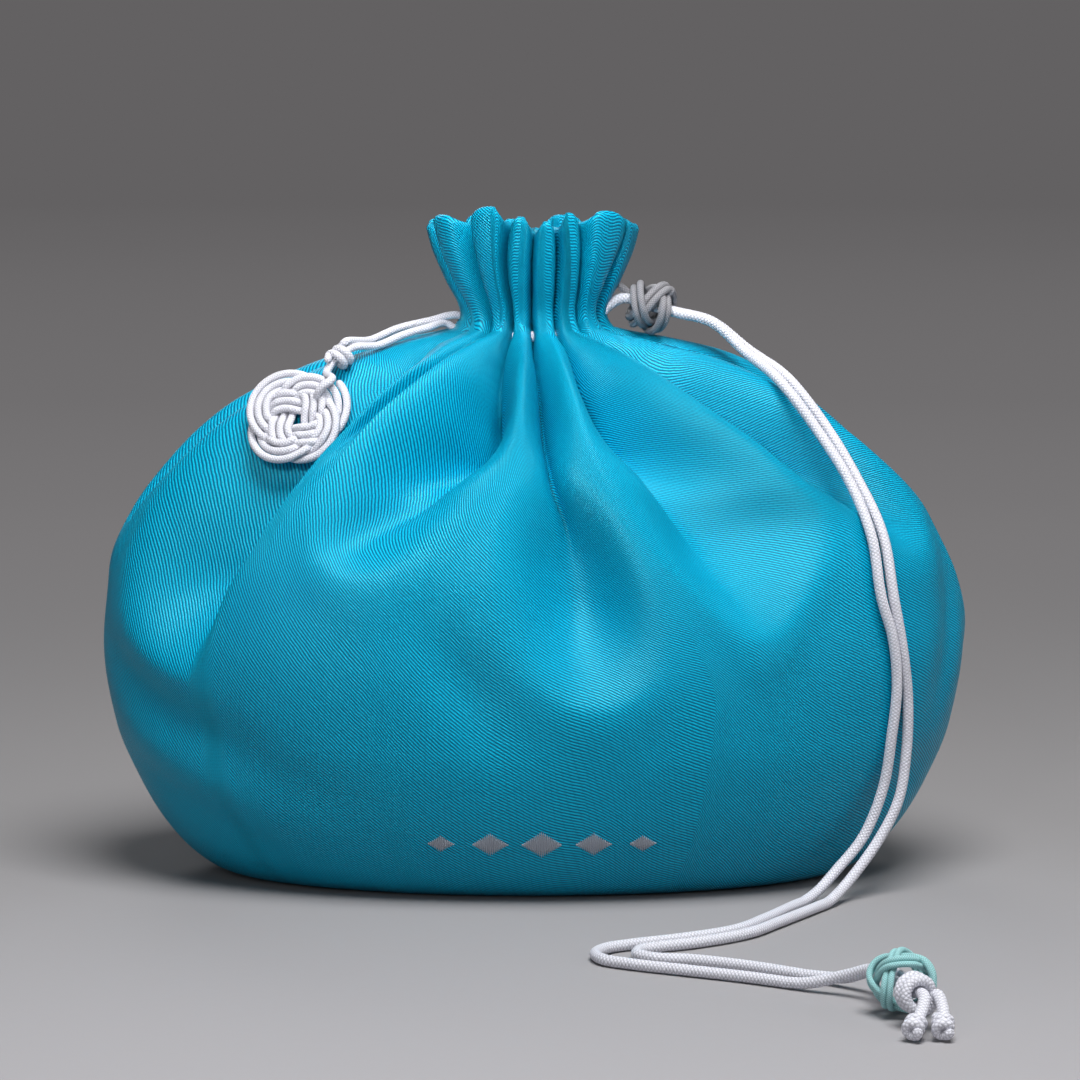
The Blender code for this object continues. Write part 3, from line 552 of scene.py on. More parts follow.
def ball_knot(centre, axis, height, bights, plies, pitch, half, wide, tall, bulge, reach):
    """Knot of three leads round a flat bore; one line that goes round once for every ply."""
    ax = unit(axis)
    side = unit(np.cross((0, 0, 1), ax))
    up = np.cross(ax, side)
    reach = np.radians(reach)
    s = np.linspace(0.0, 2 * np.pi * bights * plies, 72 * bights * plies)

    def spot(v, h):
        ang, b = 3 * v / bights, reach * np.cos(v)
        r = (bulge + h) * np.cos(b)
        run = half * np.sin(b) / np.sin(reach) + h * np.sin(b)
        return (np.array(centre) + side * ((wide + r) * np.cos(ang))[:, None]
                + up * ((tall + r) * np.sin(ang))[:, None] + ax * run[:, None])
    zero = np.zeros(len(s))
    n = spot(s, zero + 1.0) - spot(s, zero)
    n /= np.linalg.norm(n, axis=-1, keepdims=True)
    t = spot(s + 0.01, zero) - spot(s - 0.01, zero)
    t /= np.linalg.norm(t, axis=-1, keepdims=True)
    left = np.cross(n, t)
    shift = pitch * (plies / 2 - s / (2 * np.pi * bights))
    middle = spot(s, zero) + left * shift[:, None]
    rel = middle - np.array(centre)
    a, run = np.arctan2(rel @ up / (tall + bulge), rel @ side / (wide + bulge)), rel @ ax
    plane = np.stack([(12 + run) * np.cos(a), (12 + run) * np.sin(a)], -1)
    h = weave(plane, s, height)
    return middle + n * h[:, None]


def show(name, data):
    """A new object with this data, put in the scene."""
    obj = bpy.data.objects.new(name, data)
    bpy.context.scene.collection.objects.link(obj)
    return obj


def mesh_piece(name, verts, faces, uv, finish):
    """A mesh with its own UV map, in metres along the cloth or the cord."""
    mesh = bpy.data.meshes.new(name)
    mesh.from_pydata((np.array(verts) * MM).tolist(), [], faces)
    layer = mesh.uv_layers.new(name="cloth")
    loops = np.empty(len(mesh.loops), np.int32)
    mesh.loops.foreach_get("vertex_index", loops)
    layer.data.foreach_set("uv", (np.array(uv)[loops] * MM).astype(np.float32).ravel())
    mesh.polygons.foreach_set("use_smooth", np.ones(len(mesh.polygons), bool))
    mesh.materials.append(finish)
    mesh.update()
    return show(name, mesh)


def close_seams(obj):
    """Merges the doubled seam points and turns every face outward."""
    bm = bmesh.new()
    bm.from_mesh(obj.data)
    bmesh.ops.remove_doubles(bm, verts=bm.verts, dist=1e-7)
    bmesh.ops.recalc_face_normals(bm, faces=bm.faces)
    bm.to_mesh(obj.data)
    bm.free()
    obj.data.update()


def cord_frames(line):
    """Direction and two sideways directions at every point, carried along without twist."""
    t = np.gradient(line, axis=0)
    t /= np.linalg.norm(t, axis=1, keepdims=True)
    e = unit(np.cross(t[0], (0.3, 0.2, 1.0)))
    first = []
    for k in t:
        e = unit(e - k * (e @ k))
        first.append(e)
    first = np.array(first)
    return t, first, np.cross(t, first)


def cord_rings(line, diameter, sides):
    """Rings of points along a cord, with rounded ends, and their places along and round it."""
    t, e1, e2 = cord_frames(line)
    run = np.concatenate([[0.0], np.cumsum(np.linalg.norm(np.diff(line, axis=0), axis=1))])
    r = 0.5 * diameter
    caps = np.radians((0, 30, 60, 80))
    rows = [(line[0] - t[0] * r * np.sin(c), r * np.cos(c), 0, run[0] - r * np.sin(c)) for c in caps[:0:-1]]
    rows += [(line[k], r, k, run[k]) for k in range(len(line))]
    rows += [(line[-1] + t[-1] * r * np.sin(c), r * np.cos(c), len(line) - 1, run[-1] + r * np.sin(c))
             for c in caps[1:]]
    a = np.linspace(0, 2 * np.pi, sides, endpoint=False)
    verts, uv = [], []
    for centre, radius, k, u in rows:
        ring = centre + radius * (np.outer(np.cos(a), e1[k]) + np.outer(np.sin(a), e2[k]))
        verts.extend(ring)
        verts.append(ring[0])
        uv.extend((u, v) for v in np.append(a, 2 * np.pi) * 0.5 * diameter)
    return verts, uv, len(rows), (line[0] - t[0] * r, line[-1] + t[-1] * r)


def cord_piece(name, line, diameter, finish, sides=14):
    """Round cord with rounded ends; u runs along it and v round it."""
    verts, uv, count, tips = cord_rings(np.array(line, float), diameter, sides)
    wide = sides + 1
    faces = []
    for i in range(count - 1):
        for j in range(sides):
            p = i * wide + j
            faces.append((p, p + 1, p + wide + 1, p + wide))
    for ring, tip in ((0, tips[0]), (count - 1, tips[1])):
        verts.append(tip)
        uv.append((uv[ring * wide][0], 0))
        for j in range(sides):
            p = ring * wide + j
            faces.append((len(verts) - 1, p + 1, p) if ring == 0 else (len(verts) - 1, p, p + 1))
    obj = mesh_piece(name, verts, faces, uv, finish)
    close_seams(obj)
    return obj


def cloth_columns(per_side):
    """Every column's pleat and its place in it; the first one is in the valley at the back."""
    places = np.linspace(0, 2, 2 * per_side, endpoint=False)
    pleat = np.repeat(np.arange(len(PLEATS)), len(places))
    place = np.tile(places, len(PLEATS))
    first = -BACK_PLEAT * len(places) - per_side
    return np.roll(pleat, first), np.roll(place, first)


def cloth_grid(per_side, row_step, hem_thick):
    """Rows of points: up the outside to the rim, over it and down the inside to the throat."""
    pleat, place = cloth_columns(per_side)
    low = [0.0, 0.35, 0.8, 1.4, 2.2, 3.2, 4.4]
    heights = low + list(np.linspace(5.6, RUFFLE_Z, int((RUFFLE_Z - 5.6) / row_step))[:-1])
    rows = [cloth_row(pleat, place, np.full(len(pleat), z)) for z in heights]
    rim = rim_height(pleat, place)
    rows += [cloth_row(pleat, place, RUFFLE_Z + f * (rim - RUFFLE_Z)) for f in np.linspace(0, 1, RUFFLE_ROWS)]
    outer = np.array(rows)
    round_ = np.roll(outer, -1, 1) - np.roll(outer, 1, 1)
    up = np.gradient(outer, axis=0)
    n = np.cross(round_, up)
    n /= np.linalg.norm(n, axis=-1, keepdims=True)
    hem = np.concatenate([np.zeros(len(rows) - RUFFLE_ROWS), np.linspace(0, 1, RUFFLE_ROWS) ** 4])
    thick = (CLOTH_THICK + (hem_thick - CLOTH_THICK) * hem)[:, None, None]
    inner = outer - thick * n
    bend = np.radians((25, 50, 75, 90, 105, 130, 155))
    lips = [(outer[-1] + inner[-1]) / 2 + (outer[-1] - inner[-1]) / 2 * np.cos(b)
            + np.array((0, 0, 0.6 * hem_thick * np.sin(b))) for b in bend]
    keep = range(len(rows) - 1, len(rows) - RUFFLE_ROWS + 1, -1)
    return np.array(rows + lips + [inner[k] for k in keep])


def ridge_reach(gaps, per_side):
    """Distance along the cloth from every column to the ridge on its left and to the one on its right."""
    first = -(2 * BACK_PLEAT + 1) * per_side
    g = np.roll(gaps, -first, axis=1).reshape(len(gaps), len(PLEATS), 2 * per_side)
    run = np.cumsum(g, axis=2) - g
    whole = run[..., -1:] + g[..., -1:]
    return [np.roll(reach.reshape(len(gaps), -1), first, axis=1) for reach in (run, whole - run)]


def ruffle_places(gaps, v, across, beside, neck, per_side):
    """Twill places in the ruffle: every pleat starts from its ridge at the neck and slopes its own way."""
    left, right = ridge_reach(gaps, per_side)
    pleat, place = cloth_columns(per_side)
    after = place <= 1
    ridge = np.where(after, pleat, (pleat + 1) % len(PLEATS))
    home = np.array([np.flatnonzero((pleat == k) & (place == 0))[0] for k in range(len(PLEATS))])[ridge]
    slope = np.tan(np.radians(np.where(after, RUFFLE_LEAN[ridge, 1], RUFFLE_LEAN[ridge, 0])))
    reach = np.where(after, left, -right)
    up = v - v[neck, home]
    rib = across[neck, home] + 0.8 * (up + reach * slope)
    return rib, beside[neck, home] + 0.9 * reach - 0.5 * up


def twill_places(grid, per_side):
    """Places across and along the twill ribs: their slope turns slowly round the bag."""
    rows, cols = grid.shape[:2]
    middle, neck = int(0.4 * rows), int(np.argmax(grid[:, 0, 2] > 126.0))
    body = grid[middle]
    angle = np.degrees(np.arctan2(body[:, 0] / 1.8, -body[:, 1]))
    lean = np.radians(np.interp(angle, *np.array(TWILL_LEAN).T))
    front = int(np.argmin(np.abs(angle)))
    gaps = np.linalg.norm(np.roll(grid, -1, 1) - grid, axis=2)
    rises = np.linalg.norm(np.diff(grid, axis=0), axis=2)
    run = np.concatenate([np.zeros((1, cols)), np.cumsum(rises, axis=0)])
    v = run - run[middle]
    high = step(106.0, 122.0, grid[:, :1, 2])
    mixed = gaps[middle] * (1 - high) + gaps * high
    across = np.hstack([np.zeros((rows, 1)), np.cumsum(mixed * np.sin(lean), axis=1)])
    beside = np.hstack([np.zeros((rows, 1)), np.cumsum(mixed * np.cos(lean), axis=1)])
    across += np.column_stack([v * np.cos(lean), v[:, 0] * np.cos(lean[0])]) - across[:, front:front + 1]
    beside -= np.column_stack([v * np.sin(lean), v[:, 0] * np.sin(lean[0])]) + beside[:, front:front + 1]
    ruffle = ruffle_places(gaps, v, across, beside, neck, per_side)
    share = step(124.5, 127.5, grid[:, :1, 2])
    return [body_ * (1 - share) + np.column_stack([top, top[:, 0]]) * share
            for body_, top in zip((across, beside), ruffle)]


def cloth_mesh(name, grid, per_side, finish):
    """The grid closed under its base and at the throat."""
    rows, cols = grid.shape[:2]
    across, beside = twill_places(grid, per_side)
    ring = np.concatenate([grid, grid[:, :1]], 1)
    verts = list(ring.reshape(-1, 3))
    uv = list(np.stack([across.ravel(), beside.ravel()], -1))
    wide = cols + 1
    faces = [(i * wide + j, i * wide + j + 1, (i + 1) * wide + j + 1, (i + 1) * wide + j)
             for i in range(rows - 1) for j in range(cols)]
    verts += [(0.0, 0.0, 0.0), (0.0, 0.0, THROAT_Z - 2.0)]
    uv += [(0.0, 0.0), (0.0, 0.0)]
    low, high = len(verts) - 2, len(verts) - 1
    faces += [(low, j + 1, j) for j in range(cols)]
    faces += [(high, (rows - 1) * wide + j, (rows - 1) * wide + j + 1) for j in range(cols)]
    obj = mesh_piece(name, verts, faces, uv, finish)
    close_seams(obj)
    return obj


def front_point(x, z):
    """Point and outward direction of the cloth's front at a sideways place and a height."""
    pleat, place = cloth_columns(12)
    spots = []
    for height in (z - 0.5, z, z + 0.5):
        row = cloth_row(pleat, place, np.full(len(pleat), float(height)))
        row = row[row[:, 1] < -20.0]
        row = row[np.argsort(row[:, 0])]
        spots.append([np.array([np.interp(u, row[:, 0], row[:, k]) for k in range(3)]) for u in (x, x + 0.5)])
    out = np.cross(spots[1][1] - spots[1][0], spots[2][0] - spots[0][0])
    return spots[1][0], unit(out)


def add(tree, kind, *wires, named=None, **settings):
    """One node: inputs in order, inputs by name, and settings; an input is a value, a node or its output."""
    node = tree.nodes.new(kind)
    for key, value in settings.items():
        setattr(node, key, value)
    for key, value in list(enumerate(wires)) + list((named or {}).items()):
        socket = node.inputs[key]
        if isinstance(value, bpy.types.Node):
            value = value.outputs[0]
        if isinstance(value, bpy.types.NodeSocket):
            tree.links.new(value, socket)
        else:
            socket.default_value = value
    return node


def blank(name, roughness, sheen=0.0):
    """A material with a bare shader."""
    finish = bpy.data.materials.new(name)
    finish.use_nodes = True
    shader = finish.node_tree.nodes["Principled BSDF"]
    shader.inputs["Roughness"].default_value = roughness
    shader.inputs["Sheen Weight"].default_value = sheen
    return finish, finish.node_tree, shader


def thread_surface(tree, shader, shade, shade_and_colour, height, strength, depth):
    """Colours a thread surface from a painted shade to its own colour, and raises it by a depth in
    millimetres.
    """
    mixed = add(tree, "ShaderNodeMix", shade, data_type="RGBA", named={6: list(shade_and_colour[0]), 7: list(shade_and_colour[1])})
    bump = add(tree, "ShaderNodeBump", named={"Height": height, "Strength": strength, "Distance": depth * MM})
    tree.links.new(mixed.outputs[2], shader.inputs["Base Color"])
    tree.links.new(bump.outputs[0], shader.inputs["Normal"])


def painted_shade_of(color, share):
    """The colour with only this share of its light: a painted shade."""
    return [c * share for c in color[:3]] + [1.0]


def satin_twill(cloth):
    """Dyed polyester satin, woven in a twill.

    It gives the eye fine slanting ribs of shiny floats and a soft broad gleam along every ridge. Between the
    ribs the colour holds painted shade.
    """
    finish, tree, shader = blank("polyester_satin_twill", 0.38)
    shader.inputs["Specular IOR Level"].default_value = 0.45
    shader.inputs["Specular Tint"].default_value = (0.3, 1.0, 0.9, 1.0)
    place = add(tree, "ShaderNodeUVMap", uv_map="cloth")
    parts = add(tree, "ShaderNodeSeparateXYZ", place).outputs
    # threads wander by a fifth of a millimetre over a few millimetres
    drift = add(tree, "ShaderNodeTexNoise", named={"Vector": place, "Scale": 260.0, "Detail": 2.0})
    across = add(tree, MATH, drift, 0.0004, parts[0], operation="MULTIPLY_ADD")
    # the real ribs are 0.5 to 0.7 mm apart; each float is about 1.6 mm long
    row = add(tree, MATH, across, cloth.twill, operation="DIVIDE")
    wave = add(tree, MATH, row, 2 * math.pi, operation="MULTIPLY")
    wave = add(tree, MATH, wave, operation="SINE")
    rib = add(tree, MATH, wave, 0.5, 0.5, operation="MULTIPLY_ADD")
    dash = add(tree, MATH, row, operation="FLOOR")
    dash = add(tree, MATH, dash, 0.37, add(tree, MATH, parts[1], 1.6 * MM, operation="DIVIDE"),
               operation="MULTIPLY_ADD")
    dash = add(tree, MATH, dash, 0.5, operation="PINGPONG")
    dash = add(tree, MATH, dash, 6.0, operation="MULTIPLY")
    dash = add(tree, MATH, dash, 1.0, 0.2, operation="SMOOTH_MIN")
    dash = add(tree, MATH, dash, 0.35, 0.65, operation="MULTIPLY_ADD")
    relief = add(tree, MATH, rib, dash, operation="MULTIPLY")
    # single yarns are a quarter of a millimetre, uneven in tone
    slub = add(tree, "ShaderNodeTexNoise", named={"Vector": place, "Scale": 2200.0, "Detail": 2.0})
    # the dye takes a little unevenly over a hand's breadth
    tone = add(tree, "ShaderNodeTexNoise", named={"Vector": place, "Scale": 22.0, "Detail": 2.0})
    # painted shade between the ribs, the floats keeping their own colour; the yarns and the dye vary the tone
    # at random
    shade = add(tree, MATH, slub, 0.4, -0.4, operation="MULTIPLY_ADD")
    shade = add(tree, MATH, relief, 1.35, shade, operation="MULTIPLY_ADD")
    shade = add(tree, MATH, tone, 0.25, shade, operation="MULTIPLY_ADD")
    shade = add(tree, "ShaderNodeClamp", shade)
    gloss = add(tree, MATH, relief, -0.08, 0.38, operation="MULTIPLY_ADD")
    gloss = add(tree, MATH, slub, 0.14, gloss, operation="MULTIPLY_ADD")
    tree.links.new(gloss.outputs[0], shader.inputs["Roughness"])
    thread_surface(tree, shader, shade, (cloth.shade, cloth.satin), relief, 0.9, 0.1)
    return finish


def braided(name, color, diameter, picks, gap_shade_share):
    """Round braid of polyester yarn, matt, with short raised picks and soft gaps between them in painted
    shade.
    """
    finish, tree, shader = blank(name, 0.62, 0.12)
    shader.inputs["Sheen Roughness"].default_value = 0.4
    place = add(tree, "ShaderNodeUVMap", uv_map="cloth")
    # yarns as they lie round the cord; drawn about twice as coarse as the real ones, so that they show
    pitch = math.pi * diameter / picks
    parts = add(tree, "ShaderNodeSeparateXYZ", place).outputs
    steep = add(tree, MATH, parts[0], 1.5, operation="MULTIPLY")
    plait = []
    for way in ("ADD", "SUBTRACT"):
        wave = add(tree, MATH, steep, parts[1], operation=way)
        wave = add(tree, MATH, wave, math.pi / pitch, operation="MULTIPLY")
        plait.append(add(tree, MATH, wave, operation="SINE"))
    plait = add(tree, MATH, *plait, operation="MULTIPLY")
    plait = add(tree, MATH, plait, operation="ABSOLUTE")
    plait = add(tree, MATH, plait, 0.8, operation="POWER")
    # loose fibres, a tenth of a millimetre
    fuzz = add(tree, "ShaderNodeTexNoise", named={"Vector": place, "Scale": 4200.0, "Detail": 2.0})
    # painted shade in the gaps between the picks; the loose fibres vary the tone at random
    shade = add(tree, MATH, fuzz, 0.4, -0.15, operation="MULTIPLY_ADD")
    shade = add(tree, MATH, plait, 1.25, shade, operation="MULTIPLY_ADD")
    shade = add(tree, "ShaderNodeClamp", shade)
    height = add(tree, MATH, fuzz, 0.5, plait, operation="MULTIPLY_ADD")
    thread_surface(tree, shader, shade, (painted_shade_of(color, gap_shade_share), color), height, 0.8, 0.15)
    return finish


def embroidery_thread(color):
    """Twisted rayon thread: silky, with slanting plies that glint along each stitch, and painted shade
    between the plies.
    """
    finish, tree, shader = blank("rayon_thread", 0.42, 0.1)
    place = add(tree, "ShaderNodeTexCoord").outputs["Object"]
    # plies of 0.3 mm, twisted to a slant
    slant = add(tree, "ShaderNodeVectorMath", place, (1.0, 0.0, 1.0), operation="DOT_PRODUCT")
    ply = add(tree, MATH, slant.outputs["Value"], 2 * math.pi / (0.3 * MM), operation="MULTIPLY")
    ply = add(tree, MATH, ply, operation="SINE")
    # painted shade between the plies, their tops in the thread's own colour
    shade = add(tree, MATH, ply, 0.5, 0.5, operation="MULTIPLY_ADD")
    thread_surface(tree, shader, shade, (painted_shade_of(color, 0.62), color), ply, 0.4, 0.04)
    return finish


def floor_paper(near_painted_light, far_painted_shade):
    """Matt background paper: painted light in front and painted shade further off, greyer with distance as
    the light falls off; far off it turns into a painted glowing surface of one tone with the room.
    """
    finish, tree, shader = blank("matt_background_paper", 0.9)
    shader.inputs["Specular IOR Level"].default_value = 0.2
    place = add(tree, "ShaderNodeTexCoord").outputs["Object"]
    # paper fibres, drawn at 3 mm, coarser than real ones, so that they show at all
    fibre = add(tree, "ShaderNodeTexNoise", named={"Vector": place, "Scale": 330.0, "Detail": 4.0})
    centre = add(tree, "ShaderNodeVectorMath", place, (0.0, 0.34, 0.0), operation="ADD")
    away = add(tree, "ShaderNodeVectorMath", centre, operation="LENGTH").outputs["Value"]
    # painted light and shade, mixed by distance from a spot in front; the fibres vary the tone at random
    light_falloff = add(tree, "ShaderNodeMapRange", away, 0.12, 0.46, interpolation_type="SMOOTHSTEP")
    light_falloff = add(tree, MATH, fibre, 0.06, light_falloff, operation="MULTIPLY_ADD")
    mixed = add(tree, "ShaderNodeMix", light_falloff, data_type="RGBA", named={6: list(near_painted_light), 7: list(far_painted_shade)})
    tree.links.new(mixed.outputs[2], shader.inputs["Base Color"])
    # far off the camera sees this painted glowing grey in place of the lit paper
    tone = add(tree, "ShaderNodeValToRGB", add(tree, MATH, away, 6.0, operation="DIVIDE"))
    stops = tone.color_ramp.elements
    for spot, code in FAR_PAINTED_GLOW:
        stop = stops.new(spot) if 0.0 < spot < 1.0 else stops[0 if spot == 0.0 else -1]
        stop.color = linear(code)
    painted_glow = add(tree, "ShaderNodeEmission", tone)
    far = add(tree, "ShaderNodeMapRange", away, 0.45, 1.1, interpolation_type="SMOOTHSTEP")
    ray = add(tree, "ShaderNodeLightPath").outputs["Is Camera Ray"]
    both = add(tree, "ShaderNodeMixShader", add(tree, MATH, far, ray, operation="MULTIPLY"), shader, painted_glow)
    tree.links.new(both.outputs[0], tree.nodes["Material Output"].inputs[0])
    return finish


def stitch_tree(finish):
    """Geometry nodes that lay one thread stitch on every point, along the cloth."""
    tree = bpy.data.node_groups.new("satin_stitches", "GeometryNodeTree")
    face = tree.interface
    face.new_socket("Geometry", in_out="INPUT", socket_type="NodeSocketGeometry")
    face.new_socket("Thread thickness", in_out="INPUT", socket_type="NodeSocketFloat")
    face.new_socket("Sides", in_out="INPUT", socket_type="NodeSocketInt")
    face.new_socket("Geometry", in_out="OUTPUT", socket_type="NodeSocketGeometry")
    given = add(tree, "NodeGroupInput").outputs
    sphere = add(tree, "GeometryNodeMeshUVSphere", given["Sides"], 6, 0.5)
    aim, out, length = (add(tree, "GeometryNodeInputNamedAttribute", name, data_type=kind).outputs[0]
                        for kind, name in (("FLOAT_VECTOR", "stitch_aim"), ("FLOAT_VECTOR", "stitch_out"),
                                           ("FLOAT", "stitch_length")))
    turn = add(tree, "FunctionNodeAlignRotationToVector", axis="X", named={"Vector": aim})
    turn = add(tree, "FunctionNodeAlignRotationToVector", axis="Z", pivot_axis="X",
               named={"Rotation": turn, "Vector": out})
    thick = given["Thread thickness"]
    grow = add(tree, "ShaderNodeCombineXYZ", length, thick, thick)
    laid = add(tree, "GeometryNodeInstanceOnPoints",
               named={"Points": given["Geometry"], "Instance": sphere, "Rotation": turn, "Scale": grow})
    real = add(tree, "GeometryNodeRealizeInstances", laid)
    soft = add(tree, "GeometryNodeSetShadeSmooth", real)
    add(tree, "NodeGroupOutput", add(tree, "GeometryNodeSetMaterial", soft, named={"Material": finish}))
    return tree


def lozenge_stitches(spacing, slope):
    """Upright stitches side by side that fill the lozenges: middle, aim, outward direction and length."""
    rows = []
    for middle, tall in LOZENGES:
        wide = slope * tall
        for x in np.arange(-wide + 0.5 * spacing, wide, spacing):
            half = tall * (1 - abs(x) / wide)
            (low, out), (high, _) = (front_point(middle + x, LOZENGE_Z + s * half) for s in (-1, 1))
            middle_at, length = (low + high) / 2 + 0.05 * out, np.linalg.norm(high - low) + 0.3
            rows.append((middle_at, unit(high - low), out, length))
    return rows


def stitch_points(rows):
    """A mesh of bare points that carries each stitch's direction and length."""
    mesh = bpy.data.meshes.new("stitch_points")
    mesh.from_pydata([tuple(r[0] * MM) for r in rows], [], [])
    for name, kind, key, column in (("stitch_aim", "FLOAT_VECTOR", "vector", 1),
                                    ("stitch_out", "FLOAT_VECTOR", "vector", 2),
                                    ("stitch_length", "FLOAT", "value", 3)):
        layer = mesh.attributes.new(name, kind, "POINT")
        values = np.array([r[column] for r in rows], np.float32)
        layer.data.foreach_set(key, (values * MM if column == 3 else values).ravel())
    return show("stitch_points", mesh)


class POUCH_OT_stage(bpy.types.Operator):
    """Makes the floor, the lights and the camera"""
    bl_idname = "pouch.make_stage"
    bl_label = "Stage"

    def execute(self, context):
        stage = context.scene.pouch_stage
        make_room(context.scene, stage)
        mesh = bpy.data.meshes.new("floor")
        mesh.from_pydata([(-9, -9, 0), (9, -9, 0), (9, 9, 0), (-9, 9, 0)], [], [(0, 1, 2, 3)])
        mesh.materials.append(floor_paper(stage.near_painted_light, stage.far_painted_shade))
        floor = show("floor", mesh)
        area_light("key", (0.10, -0.34, 0.80), (0, 0, 0.07), 0.5, stage.key)
        area_light("side", (0.95, -0.35, 0.45), (0, 0, 0.06), 0.6, stage.fill)
        area_light("front", (-0.35, -0.95, 0.42), (0, 0, 0.08), 0.5, stage.fill)
        area_light("back", (-0.30, 1.05, 0.80), (0, 0, 0.06), 0.6, 2.2 * stage.fill)
        area_light("neck", (-0.10, -0.62, 0.32), (0, 0, 0.142), 0.07, stage.neck, 24.0)
        camera = show("camera", bpy.data.cameras.new("camera"))
        camera.location = CAMERA_AT
        camera.rotation_euler = (math.radians(90 - CAMERA_DIP), 0, 0)
        camera.data.lens = stage.lens
        camera.data.sensor_width = 36.0
        context.scene.camera = camera
        return {"FINISHED"}


def make_room(scene, stage):
    """Even light all round, and a plain grey behind the floor for the camera."""
    scene.view_settings.view_transform = "Standard"
    world = bpy.data.worlds.new("soft_room")
    scene.world = world
    world.use_nodes = True
    tree = world.node_tree
    sky = tree.nodes["Background"]
    sky.inputs["Color"].default_value = (0.92, 0.95, 1.0, 1.0)
    sky.inputs["Strength"].default_value = stage.room
    seen = add(tree, "ShaderNodeBackground", linear(FAR_PAINTED_GLOW[-1][1]), 1.0)
    ray = add(tree, "ShaderNodeLightPath").outputs["Is Camera Ray"]
    both = add(tree, "ShaderNodeMixShader", ray, sky, seen)
    tree.links.new(both.outputs[0], tree.nodes["World Output"].inputs[0])


def area_light(name, at, target, size_, watts, spread=180.0):
    """A round soft light aimed at a point; a small spread keeps it to a narrow beam."""
    data = bpy.data.lights.new(name, "AREA")
    data.shape = "DISK"
    data.size = size_
    data.energy = watts
    data.spread = math.radians(spread)
    lamp = show(name, data)
    lamp.location = at
    lamp.rotation_euler = (Vector(target) - Vector(at)).to_track_quat("-Z", "Y").to_euler()


def place_piece(piece, body, node):
    """Hangs a piece on what it rides on and hides the node that it stands for."""
    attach(piece, body)
    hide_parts(node)


def end_knot(tail, diameter):
    """Two and a half close turns round a strand's end, and the cord's thickness when pulled tight."""
    tail = np.array(tail)
    aim = unit(tail[-1] - tail[-6])
    first = unit(np.cross(aim, (0.2, 0.3, 1.0)))
    turns = wrap(tail[-1], aim, first, radius=1.25, start=-2.2, turns=2.5, pitch=1.5, per_turn=8)
    return route(turns, 0.4), END_KNOT_THIN * diameter


class POUCH_OT_drawstring(bpy.types.Operator):
    """Makes the drawstring: its turn in the neck, both strands, the stopper and the end knots"""
    bl_idname = "pouch.make_drawstring"
    bl_label = "Drawstring"

    def execute(self, context):
        cords = context.scene.pouch_cords
        thick = cords.drawstring / MM
        white = braided("white_polyester_braid", cords.white, cords.drawstring, cords.picks, 0.6)
        ring = cord_piece("drawstring_neck", route(neck_ring(27), 0.8), thick, white)
        place_piece(ring, "pouch", "drawstring")
        for name, line in (("front", front_strand()), ("back", back_strand())):
            strand = cord_piece("drawstring_" + name, line, thick, white)
            turns, thin = end_knot(line, thick)
            knot = cord_piece("end_knot_" + name, turns, thin, white)
            for piece in (strand, knot):
                place_piece(piece, "pouch", "drawstring")
        return {"FINISHED"}


class POUCH_OT_ornament(bpy.types.Operator):
    """Makes the white ornament: its loop, button knot and flat knot"""
    bl_idname = "pouch.make_ornament"
    bl_label = "Ornament"

    def execute(self, context):
        cords = context.scene.pouch_cords
        white = braided("white_nylon_braid", cords.white, cords.ornament, cords.picks, 0.6)
        strands = cord_piece("ornament_strands", ornament_strands(), cords.ornament / MM, white)
        knot = cord_piece("ornament_flat_knot", flat_knot_line(), cords.flat_knot / MM, white, sides=12)
        for piece in (strands, knot):
            place_piece(piece, "pouch", "ornament_cord")
        return {"FINISHED"}


class POUCH_OT_cloth(bpy.types.Operator):
    """Makes the filled pouch of pleated satin with its ruffle"""
    bl_idname = "pouch.make_cloth"
    bl_label = "Cloth"

    def execute(self, context):
        cloth = context.scene.pouch_cloth
        grid = cloth_grid(PLEAT_COLUMNS, 1.15, cloth.hem / MM)
        piece = cloth_mesh("pouch_satin", grid, PLEAT_COLUMNS, satin_twill(cloth))
        place_piece(piece, "pouch", "pouch_cloth")
        return {"FINISHED"}


class POUCH_OT_stitches(bpy.types.Operator):
    """Embroiders the row of lozenges low on the front"""
    bl_idname = "pouch.make_stitches"
    bl_label = "Embroidery"

    def execute(self, context):
        stitches = context.scene.pouch_stitches
        tree = stitch_tree(embroidery_thread(stitches.grey))
        points = stitch_points(lozenge_stitches(stitches.spacing / MM, stitches.slope))
        layer = points.modifiers.new("stitches", "NODES")
        layer.node_group = tree
        values = {"Thread thickness": stitches.thread, "Sides": 8}
        for socket in tree.interface.items_tree:
            if socket.in_out == "INPUT" and socket.name in values:
                layer[socket.identifier] = values[socket.name]
        solid = points.evaluated_get(context.evaluated_depsgraph_get())
        mesh = bpy.data.meshes.new_from_object(solid)
        if len(mesh.polygons) == 0:
            raise RuntimeError("the stitch tree gave no faces")
        mesh.name = "lozenge_stitches"
        bpy.data.objects.remove(points)
        piece = show("lozenge_stitches", mesh)
        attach(piece, "pouch")
        return {"FINISHED"}


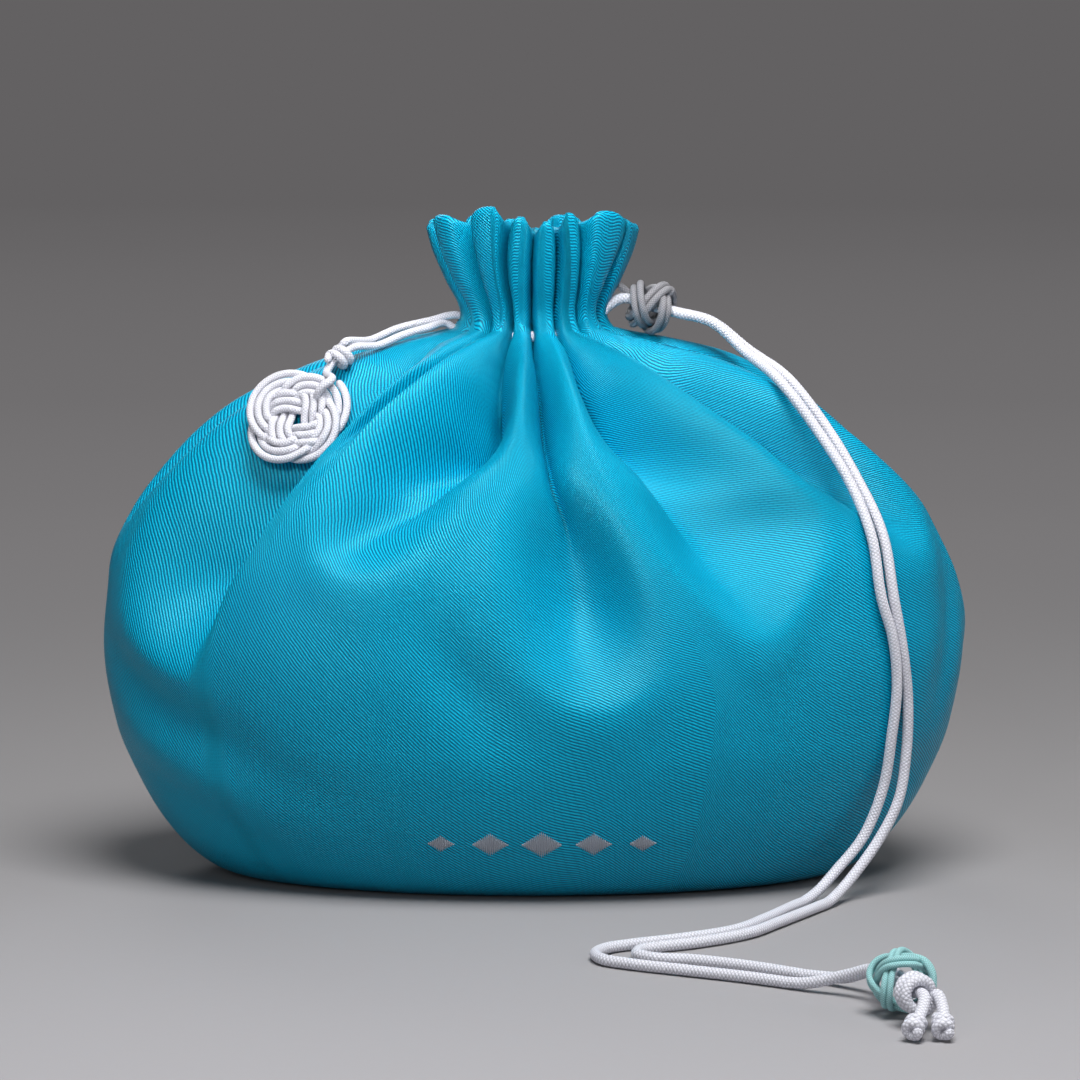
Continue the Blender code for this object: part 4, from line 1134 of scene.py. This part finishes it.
class POUCH_OT_knots(bpy.types.Operator):
    """Makes the grey lock knot with its melted ends, and the slider bead"""
    bl_idname = "pouch.make_knots"
    bl_label = "Lock knot and bead"

    def execute(self, context):
        knots = context.scene.pouch_knots
        grey = braided("grey_polyester_braid", knots.grey, knots.lock, 7, 0.4)
        mint = braided("mint_polyester_braid", knots.mint, knots.bead, 6, 0.5)
        lock_d, bead_d = knots.lock / MM, knots.bead / MM
        line = ball_knot(LOCK_AT, LOCK_AXIS, 0.53 * lock_d, **LOCK_KNOT)
        place_piece(cord_piece("lock_knot_braid", line, lock_d, grey), "lock", "lock_knot")
        for name, points in zip(("inner", "outer"), LOCK_ENDS):
            end = cord_piece("lock_end_" + name, route(points, 0.4), lock_d, grey)
            place_piece(end, "lock", "lock_knot")
        line = ball_knot(BEAD_AT, BEAD_AXIS, 0.53 * bead_d, **BEAD_KNOT)
        place_piece(cord_piece("slider_bead_braid", line, bead_d, mint), "bead", "slider_bead")
        return {"FINISHED"}


class POUCH_PT_panel(bpy.types.Panel):
    """Lists the pouch's pieces with their sizes and colours"""
    bl_label = "Drawstring pouch"
    bl_idname = "POUCH_PT_panel"
    bl_space_type = "VIEW_3D"
    bl_region_type = "UI"
    bl_category = "Pouch"

    def draw(self, context):
        for attribute, group, operators in PIECES:
            box = self.layout.box()
            for name in group.__annotations__:
                box.prop(getattr(context.scene, attribute), name)
            for operator in operators:
                box.operator(operator.bl_idname)


PIECES = (
    ("pouch_stage", PouchStageSettings, (POUCH_OT_stage,)),
    ("pouch_cords", PouchCordSettings, (POUCH_OT_drawstring, POUCH_OT_ornament)),
    ("pouch_cloth", PouchClothSettings, (POUCH_OT_cloth,)),
    ("pouch_stitches", PouchStitchSettings, (POUCH_OT_stitches,)),
    ("pouch_knots", PouchKnotSettings, (POUCH_OT_knots,)),
)


def register():
    """Adds the settings, the operators and the panel."""
    for attribute, group, operators in PIECES:
        bpy.utils.register_class(group)
        setattr(bpy.types.Scene, attribute, PointerProperty(type=group))
        for operator in operators:
            bpy.utils.register_class(operator)
    bpy.utils.register_class(POUCH_PT_panel)


def unregister():
    """Takes them away again."""
    bpy.utils.unregister_class(POUCH_PT_panel)
    for attribute, group, operators in reversed(PIECES):
        for operator in operators:
            bpy.utils.unregister_class(operator)
        delattr(bpy.types.Scene, attribute)
        bpy.utils.unregister_class(group)


def main():
    """Adds the settings and makes every piece."""
    register()
    bpy.ops.pouch.make_stage()
    bpy.ops.pouch.make_drawstring()
    bpy.ops.pouch.make_ornament()
    bpy.ops.pouch.make_cloth()
    bpy.ops.pouch.make_stitches()
    bpy.ops.pouch.make_knots()


if __name__ == "__main__":
    main()
